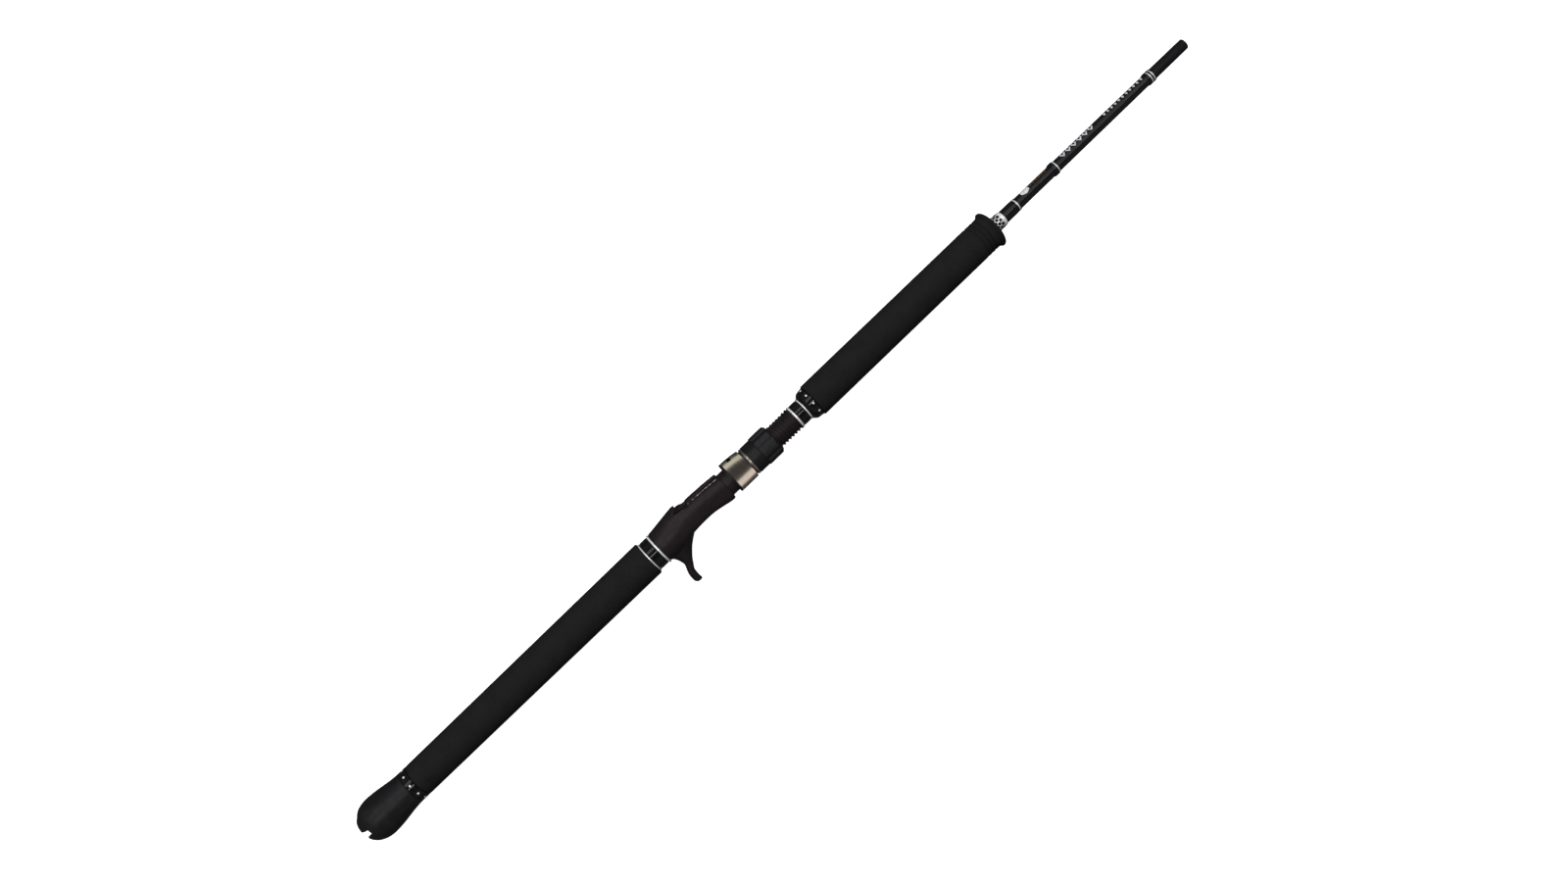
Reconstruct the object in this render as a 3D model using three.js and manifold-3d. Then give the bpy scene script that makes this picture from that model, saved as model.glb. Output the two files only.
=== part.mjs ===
// Handle of a conventional boat rod: slotted butt cap, long rear grip, trigger reel seat with a
// sliding hood and its lock nut, fore grip, and the first stretch of the hollow blank.
// Millimetres. +X runs along the rod from butt to tip, +Z is up, and the rod lies on its side.
// The origin is on the rod's axis, on the floor of the butt cap's cross slot.

import * as THREE from "three";
import { mergeVertices } from "three/addons/utils/BufferGeometryUtils.js";
import Module from "manifold-3d";

const wasm = await Module();
wasm.setup();

// ---------------------------------------------------------------- driving dimensions

// Fits
const seam = 0.3; // between the faces of neighbours along the rod
const bondGap = 0.3; // round a piece glued on the blank or in the seat
const windingGap = 0.12; // under a thread winding
const runningGap = 0.35; // between sliding or turning pieces

// How the rod lies: the reel side is this far above level, so that the trigger's tip rests too
const rollDegrees = 20;

// Blank
const blankButtRadius = 6.45;
const blankTaper = 0.00152; // radius lost per millimetre
const blankBoreRadius = 4.2;
const buttBlankLength = 40.6; // free blank from the butt band to the middle winding
const frontBlankLength = 108.6; // free blank from the middle to the tip winding
const tipLength = 38.8; // matt blank past the tip winding

// Butt cap
const slotDepth = 8;
const slotWidth = 8;
const capLength = 42.1;
const capRadius = 17.8;
const capDomeLength = 17.3;
const capFlatRadius = 5;
const capFrontRadius = 14.6;
const capFloor = 6; // solid rubber between the slot and the blank's end

// Rear grip and the trim round it
const trimLength = 6.9;
const trimDots = 10;
const dotRadius = 0.95;
const dotDepth = 0.5;
const rearGripLength = 252.2;
const rearGripButtRadius = 14.65;
const rearGripFrontRadius = 15.6;
const gripEdge = 1;
const edgeRingLength = 1;
const rearCollarLength = 8.2;
const rearCollarDrop = 0.5; // collar's radius below the seat's rear
const ringProud = 0.4;
const seatRingLength = 1.5;

// Reel seat body
const seatRearRadius = 14.15;
const saddleLength = 73.4; // seat's rear face to the step at the barrel
const barrelLength = 17.6; // plain barrel from the step to the thread
const barrelRadius = 11;
const flatDepth = 2.2; // flat along the barrel that the reel's foot slides on
const platformRise = 0.5; // platform above that flat
const platformHalfWidth = 6.6;
const railRise = 1; // rails above the platform
const pocketHeight = 6.4; // at the mouth
const pocketHalfWidth = 6.8;
const pocketDepth = 14;
const pocketEndHeight = 5.6; // at the closed end
const pocketEndHalfWidth = 6;
const mouthOffset = 30; // seat's rear face to the top of the fixed hood's mouth
const mouthRun = 9; // how much further forward the mouth reaches at the rails
const hoodRoofWall = 2.4; // fixed hood's top above its pocket
const arborWall = 0.73;
const arborLength = 26;
const arborCount = 3;

// Trigger
const triggerReach = 45;

// Thread of the seat and its nut
const threadPitch = 3.3;
const threadDrop = 0.2; // crests below the barrel
const threadDepth = 1.2;
const threadLength = 61.4;
const flatEndLength = 5; // full thread left past the flat

// Sliding hood
const hoodGap = 6.8; // step at the barrel to the hood's lip, at rest
const lipLength = 1.7;
const linerWall = 1.15;
const shellLength = 16.8;
const shellWall = 0.8;
const crownRise = 1.8; // shell's reel side above its round part, at the mouth
const hoodPocketDepth = 11;
const hoodPocketHalfWidth = 6.4;
const windowSize = 3;
const windowOffset = 7; // from the shell's mouth
const shellLipLength = 0.8;

// Lock nut
const nutGap = 3.6; // shell's end to the nut's body
const nutRingLength = 2;
const nutRingDrop = 0.2; // ring's radius below the nut's collar
const nutLength = 26.4;
const nutCollarLength = 9.6;
const nutWall = 2.05; // collar's radius above the thread's clearance
const nutLobeRise = 0.8; // lobes above the collar
const nutShoulder = 1.8;
const nutFlats = 8;
const nutFluteRadius = 4;
const nutFluteDepth = 0.7;
const flangeLength = 2.4;
const neckWall = 0.7;

// Front trim and fore grip
const frontRingLength = 1.6;
const frontCollarLength = 7.9;
const frontCollarRadius = 10.25;
const foreTrimLength = 9;
const flareLength = 4.5;
const flareDrop = 0.6; // end of the flare below the trim ring's front
const foreTrimDrop = 1; // trim ring's front below the grip
const foreGripLength = 209.3;
const foreGripRadius = 15.3;
const grooveOffsets = [18.7, 14.3, 10.2]; // from the grip's front face
const grooveDepth = 0.9;
const grooveHalfWidth = 0.8;
const gripFlareRise = 2.3; // flared end above the grip
const gripFlareOffset = 2.5;
const gripFlareLength = 6.2;
const gripEndDrop = 0.8; // front face's edge below the grip

// Windings. Each wall is measured from the blank at the rear end of its winding.
const checkLength = 12;
const checkWall = 1.36;
const buttWrapLength = 13.1;
const buttWrapWall = 0.63;
const buttBandLength = 3.6;
const buttBandWall = 0.45;
const midWrapLength = 5.2;
const midWrapWall = 0.82;
const midBandOffset = 3.9;
const tipWrapLength = 7.5;
const tipWrapWall = 0.76;
const tipBandOffsets = [2.3, 5];
const bandLength = 1;
const bandDepth = 0.28;

// Facets round the rod, round the thread and round the small dots
const facets = 24;
const threadFacets = 18;
const dotFacets = 8;

// ---------------------------------------------------------------- places along the rod

const after = (span, length) => ({ start: span.end + seam, end: span.end + seam + length });
const cap = { start: -slotDepth, end: capLength };
const buttTrim = after(cap, trimLength);
const rearGrip = after(buttTrim, rearGripLength);
const rearRing = after(rearGrip, edgeRingLength);
const rearCollar = after(rearRing, rearCollarLength);
const seatRing = after(rearCollar, seatRingLength);
const seat = after(seatRing, saddleLength + barrelLength + threadLength);
const frontRing = after(seat, frontRingLength);
const frontCollar = after(frontRing, frontCollarLength);
const foreRing = after(frontCollar, edgeRingLength);
const foreTrim = after(foreRing, foreTrimLength);
const foreGrip = after(foreTrim, foreGripLength);
const check = after(foreGrip, checkLength);
const buttWrap = after(check, buttWrapLength);
const buttBand = after(buttWrap, buttBandLength);
const winding = (start, length) => ({ start, end: start + length });
const midWrap = winding(buttBand.end + buttBlankLength, midWrapLength);
const tipWrap = winding(midWrap.end + frontBlankLength, tipWrapLength);
const rodEnd = tipWrap.end + tipLength;

// The blank is in three lengths that meet under windings. The last is matt.
const midSplit = (midWrap.start + midWrap.end) / 2;
const tipSplit = (tipWrap.start + tipWrap.end) / 2;

const saddleEnd = seat.start + saddleLength;
const lip = { start: saddleEnd + hoodGap, end: saddleEnd + hoodGap + lipLength };
const shell = after(lip, shellLength);
const nut = { start: shell.end + nutGap, end: shell.end + nutGap + nutLength };
const nutRing = { start: nut.start - seam - nutRingLength, end: nut.start - seam };

// ---------------------------------------------------------------- radii and heights

const blankRadius = (x) => blankButtRadius - blankTaper * x;
const seatBoreRadius = blankRadius(seat.start) + arborWall + 2 * bondGap;
const rearCollarRadius = seatRearRadius - rearCollarDrop;
const flatHeight = barrelRadius - flatDepth;
const platformHeight = flatHeight + platformRise;
const railHeight = platformHeight + railRise;
const humpHeight = platformHeight + pocketHeight + hoodRoofWall;
const threadRadius = barrelRadius - threadDrop;
const hoodBoreRadius = barrelRadius + runningGap;
const shellBoreRadius = hoodBoreRadius + linerWall + bondGap;
const shellRadius = shellBoreRadius + shellWall;
const shellCrown = shellRadius + crownRise;
const nutBoreRadius = threadRadius + runningGap;
const nutCollarRadius = nutBoreRadius + nutWall;
const nutLobeRadius = nutCollarRadius + nutLobeRise;
const nutRingRadius = nutCollarRadius - nutRingDrop;
const foreTrimRadius = foreGripRadius - foreTrimDrop;
const flareRadius = foreTrimRadius - flareDrop;
const gripFlareRadius = foreGripRadius + gripFlareRise;
const gripEndRadius = foreGripRadius - gripEndDrop;
const neckRadius = nutBoreRadius + neckWall;
const flangeRadius = shellBoreRadius - runningGap;

// ---------------------------------------------------------------- solids

// A closed geometry as a solid, turned right side out.
function solidFrom(positions, triangles) {
  const make = (tris) =>
    new wasm.Manifold(new wasm.Mesh({
      numProp: 3,
      vertProperties: new Float32Array(positions),
      triVerts: new Uint32Array(tris),
    }));
  const made = make(triangles);
  if (made.volume() > 0) return made;
  const turned = [];
  for (let i = 0; i < triangles.length; i += 3) {
    turned.push(triangles[i], triangles[i + 2], triangles[i + 1]);
  }
  return make(turned);
}

function solidOf(geometry) {
  const bare = geometry.index ? geometry.toNonIndexed() : geometry.clone();
  bare.deleteAttribute("normal");
  bare.deleteAttribute("uv");
  const merged = mergeVertices(bare, 1e-4);
  const kept = [];
  for (let i = 0; i < merged.index.count; i += 3) {
    const [a, b, c] = [0, 1, 2].map((k) => merged.index.getX(i + k));
    if (a !== b && b !== c && c !== a) kept.push(a, b, c);
  }
  return solidFrom(merged.attributes.position.array, kept);
}

// A body of revolution about X from [x, radius] points. The outline closes on itself or on the axis.
function turned(outline, segments = facets) {
  const onAxis = outline[0][1] === 0 && outline.at(-1)[1] === 0;
  const closed = onAxis ? outline : [...outline, outline[0]];
  const points = closed.map(([x, radius]) => new THREE.Vector2(radius, x));
  return solidOf(new THREE.LatheGeometry(points, segments).rotateZ(-Math.PI / 2));
}

// A sleeve with an outer profile of [x, radius] points and a bore that clears the blank.
function onBlank(outer, gap = bondGap) {
  const [first, last] = [outer[0][0], outer.at(-1)[0]];
  return turned([
    ...outer,
    [last, blankRadius(last) + gap],
    [first, blankRadius(first) + gap],
  ]);
}

const plainSleeve = (span, radius, gap) =>
  onBlank([[span.start, radius], [span.end, radius]], gap);

const cylinder = (start, end, radius, segments) =>
  turned([[start, 0], [start, radius], [end, radius], [end, 0]], segments);

function block(x0, x1, y0, y1, z0, z1) {
  const box = new THREE.BoxGeometry(x1 - x0, y1 - y0, z1 - z0);
  return solidOf(box.translate((x0 + x1) / 2, (y0 + y1) / 2, (z0 + z1) / 2));
}

// A closed skin over rings of equal count, with a flat cap at each end.
function skin(rings) {
  const count = rings[0].length;
  const positions = [];
  const triangles = [];
  const centre = (ring) =>
    ring.reduce((sum, p) => sum.add(p), new THREE.Vector3()).divideScalar(count);
  rings.forEach((ring) => ring.forEach((p) => positions.push(p.x, p.y, p.z)));
  const first = rings.length * count;
  const last = first + 1;
  positions.push(...centre(rings[0]), ...centre(rings.at(-1)));
  for (let j = 0; j < count; j++) {
    const k = (j + 1) % count;
    const end = (rings.length - 1) * count;
    for (let i = 0; i < rings.length - 1; i++) {
      const [low, high] = [i * count, (i + 1) * count];
      triangles.push(low + j, low + k, high + j, low + k, high + k, high + j);
    }
    triangles.push(first, k, j, last, end + j, end + k);
  }
  return solidFrom(positions, triangles);
}

const power = (value, exponent) => Math.sign(value) * Math.abs(value) ** exponent;

// A section across the rod: an ellipse that is squarer the smaller its exponent is.
function crossSection(x, halfWidth, top, bottom, exponent = 1) {
  return Array.from({ length: facets }, (_, j) => {
    const angle = (2 * Math.PI * j) / facets;
    const height = Math.sin(angle) > 0 ? top : bottom;
    return new THREE.Vector3(
      x,
      halfWidth * power(Math.cos(angle), exponent),
      height * power(Math.sin(angle), exponent),
    );
  });
}

// A section of the trigger at one height, between its rear and front faces.
function triggerSection(z, rear, front, halfWidth) {
  return Array.from({ length: facets }, (_, j) => {
    const angle = (2 * Math.PI * j) / facets;
    return new THREE.Vector3(
      (rear + front) / 2 + ((front - rear) / 2) * Math.cos(angle),
      halfWidth * Math.sin(angle),
      z,
    );
  });
}

// A screw thread about X on a solid core. The profile gives, for each corner of one turn, its
// place as a share of the pitch and its radius. Every thread counts its turns from the seat's
// rear face, so that the nut's is in step with the seat's.
function thread(start, end, profile) {
  const corners = profile.length;
  const turns = Math.ceil((end - start) / threadPitch) + 4;
  const rows = turns * corners;
  const positions = [];
  const triangles = [];
  const indices = new Map();
  const turnsBefore = Math.floor((start - seat.start) / threadPitch) - 2;
  const origin = seat.start + turnsBefore * threadPitch;
  const vertex = (i, j) => {
    if (j === threadFacets) return vertex(i + corners, 0);
    const key = i * threadFacets + j;
    if (!indices.has(key)) {
      const [share, radius] = profile[i % corners];
      const turn = Math.floor(i / corners) + j / threadFacets;
      const angle = (2 * Math.PI * j) / threadFacets;
      indices.set(key, positions.length / 3);
      positions.push(
        origin + threadPitch * (share + turn),
        radius * Math.cos(angle),
        radius * Math.sin(angle),
      );
    }
    return indices.get(key);
  };
  for (let i = 0; i < rows; i++) {
    for (let j = 0; j < threadFacets; j++) {
      const [a, b, c, d] = [vertex(i, j), vertex(i, j + 1), vertex(i + 1, j), vertex(i + 1, j + 1)];
      triangles.push(a, b, c, b, d, c);
    }
  }
  const closeEnd = (row, outwards) => {
    const loop = [];
    for (let j = 0; j < threadFacets; j++) loop.push(vertex(row, j));
    for (let i = corners; i > 0; i--) loop.push(vertex(row + i, 0));
    const hub = positions.length / 3;
    positions.push(origin + threadPitch * (row / corners + 0.5), 0, 0);
    loop.forEach((a, n) => {
      const b = loop[(n + 1) % loop.length];
      triangles.push(hub, ...(outwards ? [a, b] : [b, a]));
    });
  };
  closeEnd(0, false);
  closeEnd(rows, true);
  const reach = Math.max(...profile.map(([, radius]) => radius)) + 1;
  return solidFrom(positions, triangles).intersect(cylinder(start, end, reach));
}

// Corners of one turn: foot, crest, crest, foot. The nut's is the same, grown by the running gap.
function threadProfile(gap) {
  const grow = gap / threadPitch;
  const crest = threadRadius + gap;
  const root = crest - threadDepth;
  return [[0.1 - grow, root], [0.3 - grow, crest], [0.55 + grow, crest], [0.75 + grow, root]];
}

const arc = (count, point) =>
  Array.from({ length: count + 1 }, (_, i) => point(i / count));

// ---------------------------------------------------------------- butt cap and rear grip

function gimbalCap() {
  const widest = cap.start + capDomeLength;
  const dome = arc(8, (t) => [
    widest - capDomeLength * Math.cos((t * Math.PI) / 2),
    capFlatRadius + (capRadius - capFlatRadius) * Math.sin((t * Math.PI) / 2),
  ]);
  const waist = arc(8, (t) => [
    widest + (cap.end - widest) * t,
    capFrontRadius + ((capRadius - capFrontRadius) * (1 + Math.cos(Math.PI * t))) / 2,
  ]).slice(1);
  const half = slotWidth / 2;
  const reach = capRadius + 1;
  const slotStart = cap.start - 1;
  return turned([[cap.start, 0], ...dome, ...waist, [cap.end, 0]])
    .subtract(cylinder(capFloor, cap.end + 1, blankRadius(capFloor) + bondGap))
    .subtract(block(slotStart, 0, -half, half, -reach, reach))
    .subtract(block(slotStart, 0, -reach, reach, -half, half));
}

// Shallow round dimples in a ring's rim, evenly spaced.
function dimpled(ring, x, radius) {
  let result = ring;
  for (let i = 0; i < trimDots; i++) {
    const dot = new THREE.CylinderGeometry(dotRadius, dotRadius, 2 * dotDepth, dotFacets)
      .rotateX(Math.PI / 2)
      .translate(x, 0, radius)
      .rotateX(((i + 0.5) * 2 * Math.PI) / trimDots);
    result = result.subtract(solidOf(dot));
  }
  return result;
}

function buttTrimRing() {
  return dimpled(
    plainSleeve(buttTrim, capFrontRadius),
    (buttTrim.start + buttTrim.end) / 2,
    capFrontRadius,
  );
}

function rearGripSleeve() {
  return onBlank([
    [rearGrip.start, rearGripButtRadius - gripEdge],
    [rearGrip.start + gripEdge, rearGripButtRadius],
    [rearGrip.end - gripEdge, rearGripFrontRadius],
    [rearGrip.end, rearGripFrontRadius - gripEdge],
  ]);
}

// ---------------------------------------------------------------- reel seat

// Saddle under the reel, from the round rear face to the step at the barrel.
function saddle() {
  const x = (share) => seat.start + share * saddleLength;
  return skin([
    crossSection(x(0), seatRearRadius, seatRearRadius, seatRearRadius),
    crossSection(x(0.17), 13.8, 13.2, 13.7, 0.95),
    crossSection(x(0.36), 12.3, railHeight + 0.7, 10.4, 0.8),
    crossSection(x(0.5), 11.6, railHeight + 0.4, 9.2, 0.66),
    crossSection(x(0.69), 11.5, railHeight + 0.2, 9.2, 0.66),
    crossSection(x(0.83), 12, railHeight, 11, 0.72),
    crossSection(x(0.94), 12.4, railHeight - 0.4, 12.9, 0.78),
    crossSection(x(1), 12.4, railHeight - 0.6, 13.2, 0.78),
  ]);
}

// Fixed hood: a swelling over the rear of the platform, cut off along a slanted mouth.
function fixedHood() {
  const x = (share) => seat.start + share * mouthOffset;
  const mouthEnd = seat.start + mouthOffset + mouthRun;
  const rise = humpHeight - seatRearRadius;
  const swelling = skin([
    crossSection(x(0), seatRearRadius, seatRearRadius, 6),
    crossSection(x(0.3), 13.8, seatRearRadius + 0.304 * rise, 6),
    crossSection(x(0.65), 13, seatRearRadius + 0.709 * rise, 6),
    crossSection(x(1), 12.1, humpHeight, 6),
    crossSection(mouthEnd, 11.6, humpHeight - 1, 6),
  ]);
  const far = mouthEnd + 2 * mouthRun;
  const high = humpHeight + 4;
  const slope = mouthRun / (humpHeight - railHeight);
  const outline = new THREE.Shape([
    new THREE.Vector2(x(1) - slope * (high - humpHeight), high),
    new THREE.Vector2(mouthEnd, railHeight),
    new THREE.Vector2(far, railHeight),
    new THREE.Vector2(far, high),
  ]);
  const width = 4 * seatRearRadius;
  const wedge = new THREE.ExtrudeGeometry(outline, { depth: width, bevelEnabled: false })
    .rotateX(Math.PI / 2)
    .translate(0, width / 2, 0);
  return swelling.subtract(solidOf(wedge));
}

// Space for the reel's foot under the fixed hood, with a rounded roof. It narrows as it goes in.
function fixedPocket() {
  const mouth = seat.start + mouthOffset;
  const section = (x, height, halfWidth) => {
    const spring = platformHeight + height / 2;
    const roof = arc(8, (t) => new THREE.Vector3(
      x,
      halfWidth * Math.cos(t * Math.PI),
      spring + (height / 2) * Math.sin(t * Math.PI) ** 0.6,
    ));
    return [
      new THREE.Vector3(x, halfWidth, platformHeight),
      ...roof,
      new THREE.Vector3(x, -halfWidth, platformHeight),
    ];
  };
  return skin([
    section(mouth - pocketDepth, pocketEndHeight, pocketEndHalfWidth),
    section(mouth, pocketHeight, pocketHalfWidth),
    section(mouth + mouthRun + 1, pocketHeight, pocketHalfWidth),
  ]);
}

// The finger hook: [depth below the axis, rear face, front face, half width], as offsets.
function trigger() {
  const rows = [
    [5, 1.6, 35, 9],
    [9.5, 0.9, 30.9, 9.2],
    [14.4, 1.3, 24.5, 8],
    [18, 3.1, 20.3, 6.6],
    [22, 4.3, 16.6, 5.6],
    [25.4, 4.8, 13.8, 4.9],
    [29.6, 3.3, 11.1, 4.4],
    [34, 1.7, 8.5, 3.8],
    [39, 1.1, 7.9, 3.4],
    [42, 1.2, 7.9, 3.1],
    [44.2, 2.5, 8.1, 2.1],
    [triggerReach, 4.3, 7.9, 1],
  ];
  return skin(rows.map(([depth, rear, front, halfWidth]) =>
    triggerSection(-depth, seat.start + rear, seat.start + front, halfWidth)));
}

function reelSeatBody() {
  const threadStart = saddleEnd + barrelLength;
  const flatEnd = seat.end - flatEndLength;
  const flatReach = barrelRadius + 1;
  const platformStart = seat.start + mouthOffset;
  return saddle()
    .add(fixedHood())
    .add(trigger())
    .add(cylinder(saddleEnd - 1, threadStart + 1, barrelRadius))
    .add(thread(threadStart, seat.end, threadProfile(0)))
    .subtract(fixedPocket())
    .subtract(block(
      platformStart, saddleEnd + 0.01, -platformHalfWidth, platformHalfWidth,
      platformHeight, railHeight + 1,
    ))
    .subtract(block(saddleEnd, flatEnd, -flatReach, flatReach, flatHeight, flatReach))
    .subtract(cylinder(seat.start - 1, seat.end + 1, seatBoreRadius));
}

// Spacers between the blank and the seat's bore, evenly placed.
function seatArbor(index) {
  const spacing = (seat.end - seat.start - arborCount * arborLength) / (arborCount + 1);
  const start = seat.start + spacing + index * (arborLength + spacing);
  return plainSleeve({ start, end: start + arborLength }, seatBoreRadius - bondGap);
}

// ---------------------------------------------------------------- sliding hood

// The hood's outer form, shrunk by a wall or a gap: proud on the reel side at its mouth.
function hoodForm(start, end, inset) {
  const round = shellRadius - inset;
  const section = (x) => {
    const share = Math.min(1, Math.max(0, (x - lip.start) / (shell.end - lip.start)));
    const crown = shellCrown - inset - (shellCrown - shellRadius) * share ** 2;
    return crossSection(x, round, crown, round);
  };
  return skin(arc(5, (t) => section(start + (end - start) * t)));
}

// Pocket over the flat of the barrel, where the reel's foot slides in, roofed by the shell.
function hoodPocket() {
  const [start, end] = [lip.start - 1, shell.start + hoodPocketDepth];
  const [halfWidth, high] = [hoodPocketHalfWidth, shellCrown + 1];
  return hoodForm(start, end, shellWall)
    .intersect(block(start, end, -halfWidth, halfWidth, 0, high));
}

function hoodShell() {
  const window = windowSize / 2;
  const middle = shell.start + windowOffset;
  const lipStart = shell.end - shellLipLength;
  return hoodForm(shell.start, shell.end, 0)
    .subtract(hoodForm(shell.start - 1, lipStart, shellWall))
    .subtract(cylinder(lipStart - 1, shell.end + 1, neckRadius + runningGap))
    .subtract(block(
      middle - window, middle + window, -window, window, 0, shellCrown + 1,
    ));
}

// Lining of the hood. It is open over the pocket, and past it a flat in its bore stops it turning.
function hoodLiner() {
  const flange = flangeSpan();
  const end = flange.start - runningGap;
  const key = block(
    shell.start + hoodPocketDepth, end + 1, -shellRadius, shellRadius,
    flatHeight + runningGap, shellRadius,
  );
  const bore = cylinder(lip.start - 1, end + 1, hoodBoreRadius).subtract(key);
  return hoodForm(lip.start, lip.end, 0)
    .add(hoodForm(lip.end - 0.5, end, shellWall + bondGap))
    .subtract(bore)
    .subtract(hoodPocket());
}

// ---------------------------------------------------------------- lock nut

// The flange by which the nut is held in the hood, behind the shell's inner lip.
function flangeSpan() {
  const end = shell.end - shellLipLength - runningGap;
  return { start: end - flangeLength, end };
}

function lockNut() {
  const flange = flangeSpan();
  const lobeStart = nut.start + nutCollarLength;
  const shoulder = nut.end - nutShoulder;
  const edge = 0.5;
  let body = turned([
    [flange.start, 0],
    [flange.start, flangeRadius],
    [flange.end, flangeRadius],
    [flange.end, neckRadius],
    [nut.start, neckRadius],
    [nut.start, nutCollarRadius - edge],
    [nut.start + edge, nutCollarRadius],
    [lobeStart, nutCollarRadius],
    [lobeStart + edge, nutLobeRadius],
    [shoulder, nutLobeRadius],
    [nut.end, nutLobeRadius - nutShoulder],
    [nut.end, 0],
  ]);
  for (let i = 0; i < nutFlats; i++) {
    const flute = cylinder(lobeStart, nut.end + 1, nutFluteRadius, 16);
    const centre = nutLobeRadius + nutFluteRadius - nutFluteDepth;
    const angle = (2 * Math.PI * (i + 0.5)) / nutFlats;
    body = body.subtract(
      flute.translate([0, centre * Math.cos(angle), centre * Math.sin(angle)]),
    );
  }
  return body
    .subtract(cylinder(flange.start - 1, nut.start, nutBoreRadius))
    .subtract(thread(nut.start - 0.5, nut.end + 1, threadProfile(runningGap)));
}

function lockNutRing() {
  const bore = neckRadius + bondGap;
  return turned([
    [nutRing.start, bore],
    [nutRing.start, nutRingRadius],
    [nutRing.end, nutRingRadius],
    [nutRing.end, bore],
  ]);
}

// ---------------------------------------------------------------- fore grip and trim

function foreTrimRing() {
  const ring = onBlank([
    [foreTrim.start, frontCollarRadius + ringProud],
    [foreTrim.start + flareLength, flareRadius],
    [foreTrim.end, foreTrimRadius],
  ]);
  const middle = (foreTrim.start + flareLength + foreTrim.end) / 2;
  return dimpled(ring, middle, (flareRadius + foreTrimRadius) / 2);
}

function foreGripSleeve() {
  const grooves = grooveOffsets.flatMap((offset) => {
    const x = foreGrip.end - offset;
    return [
      [x - grooveHalfWidth, foreGripRadius],
      [x, foreGripRadius - grooveDepth],
      [x + grooveHalfWidth, foreGripRadius],
    ];
  });
  const widest = foreGrip.end - gripFlareOffset;
  const flareStart = foreGrip.end - gripFlareLength;
  return onBlank([
    [foreGrip.start, foreGripRadius - gripEdge],
    [foreGrip.start + gripEdge, foreGripRadius],
    ...grooves,
    ...arc(4, (t) => [
      flareStart + (widest - flareStart) * t,
      foreGripRadius + (gripFlareRadius - foreGripRadius) * (1 - Math.cos((t * Math.PI) / 2)),
    ]),
    ...arc(4, (t) => [
      widest + gripFlareOffset * Math.sin((t * Math.PI) / 2),
      gripEndRadius + (gripFlareRadius - gripEndRadius) * Math.cos((t * Math.PI) / 2),
    ]).slice(1),
  ]);
}

// ---------------------------------------------------------------- windings

// A plain winding or ring on the blank, with a wall of its own.
const wound = (span, wall, gap = windingGap) =>
  plainSleeve(span, blankRadius(span.start) + wall, gap);

// A winding on the blank, recessed where its bright bands lie.
function ringWrap({ start, end }, wall, bandOffsets) {
  const radius = blankRadius(start) + wall;
  const floor = radius - bandDepth;
  const recess = bandOffsets.flatMap((offset) => [
    [start + offset - windingGap, radius],
    [start + offset - windingGap, floor],
    [start + offset + bandLength + windingGap, floor],
    [start + offset + bandLength + windingGap, radius],
  ]);
  return onBlank([[start, radius], ...recess, [end, radius]], windingGap);
}

function ringWrapBand({ start }, wall, offset) {
  const radius = blankRadius(start) + wall;
  const [x0, x1] = [start + offset, start + offset + bandLength];
  const floor = radius - bandDepth + windingGap;
  return turned([[x0, floor], [x0, radius], [x1, radius], [x1, floor]]);
}

// A length of the hollow, tapering blank.
function blankTube(start, end) {
  return turned([
    [start, blankBoreRadius],
    [start, blankRadius(start)],
    [end, blankRadius(end)],
    [end, blankBoreRadius],
  ]);
}

// ---------------------------------------------------------------- the assembly

const finish = (color, roughness, metalness = 0) =>
  new THREE.MeshStandardMaterial({ color, roughness, metalness });
const materials = {
  rubber: finish(0x232423, 0.55),
  foam: finish(0x1c1c1c, 0.95),
  glossBlack: finish(0x08080a, 0.12),
  trimBlack: finish(0x101112, 0.3),
  seatPlastic: finish(0x262122, 0.45),
  nutPlastic: finish(0x18181a, 0.5),
  bright: finish(0xd9dadc, 0.2, 1),
  steel: finish(0x8f897c, 0.28, 1),
  winding: finish(0x0b0b0d, 0.18),
  blank: finish(0x0c0d10, 0.15),
  mattBlank: finish(0x121214, 0.6),
  arbor: finish(0x6f6a60, 0.8),
};

const rod = new THREE.Group();
rod.rotation.x = -THREE.MathUtils.degToRad(90 - rollDegrees);

function place(name, solid, material) {
  const { vertProperties, triVerts } = solid.getMesh();
  const geometry = new THREE.BufferGeometry()
    .setAttribute("position", new THREE.BufferAttribute(vertProperties, 3))
    .setIndex(new THREE.BufferAttribute(triVerts, 1));
  geometry.computeVertexNormals();
  const mesh = new THREE.Mesh(geometry, material);
  mesh.name = name;
  rod.add(mesh);
}

place("blank", blankTube(capFloor + seam, midSplit - seam / 2), materials.blank);
place("blank_front", blankTube(midSplit + seam / 2, tipSplit - seam / 2), materials.blank);
place("blank_tip", blankTube(tipSplit + seam / 2, rodEnd), materials.mattBlank);
place("gimbal_cap", gimbalCap(), materials.rubber);
place("butt_trim_ring", buttTrimRing(), materials.trimBlack);
place("rear_grip", rearGripSleeve(), materials.foam);
place("rear_edge_ring", plainSleeve(rearRing, rearCollarRadius + ringProud), materials.bright);
place("rear_collar", plainSleeve(rearCollar, rearCollarRadius), materials.glossBlack);
place("seat_edge_ring", plainSleeve(seatRing, seatRearRadius + ringProud), materials.bright);

place("reel_seat_body", reelSeatBody(), materials.seatPlastic);
for (let i = 0; i < arborCount; i++) {
  place(`seat_arbor_${i + 1}`, seatArbor(i), materials.arbor);
}
place("hood_shell", hoodShell(), materials.steel);
place("hood_liner", hoodLiner(), materials.nutPlastic);
place("lock_nut", lockNut(), materials.nutPlastic);
place("nut_ring", lockNutRing(), materials.bright);

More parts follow.
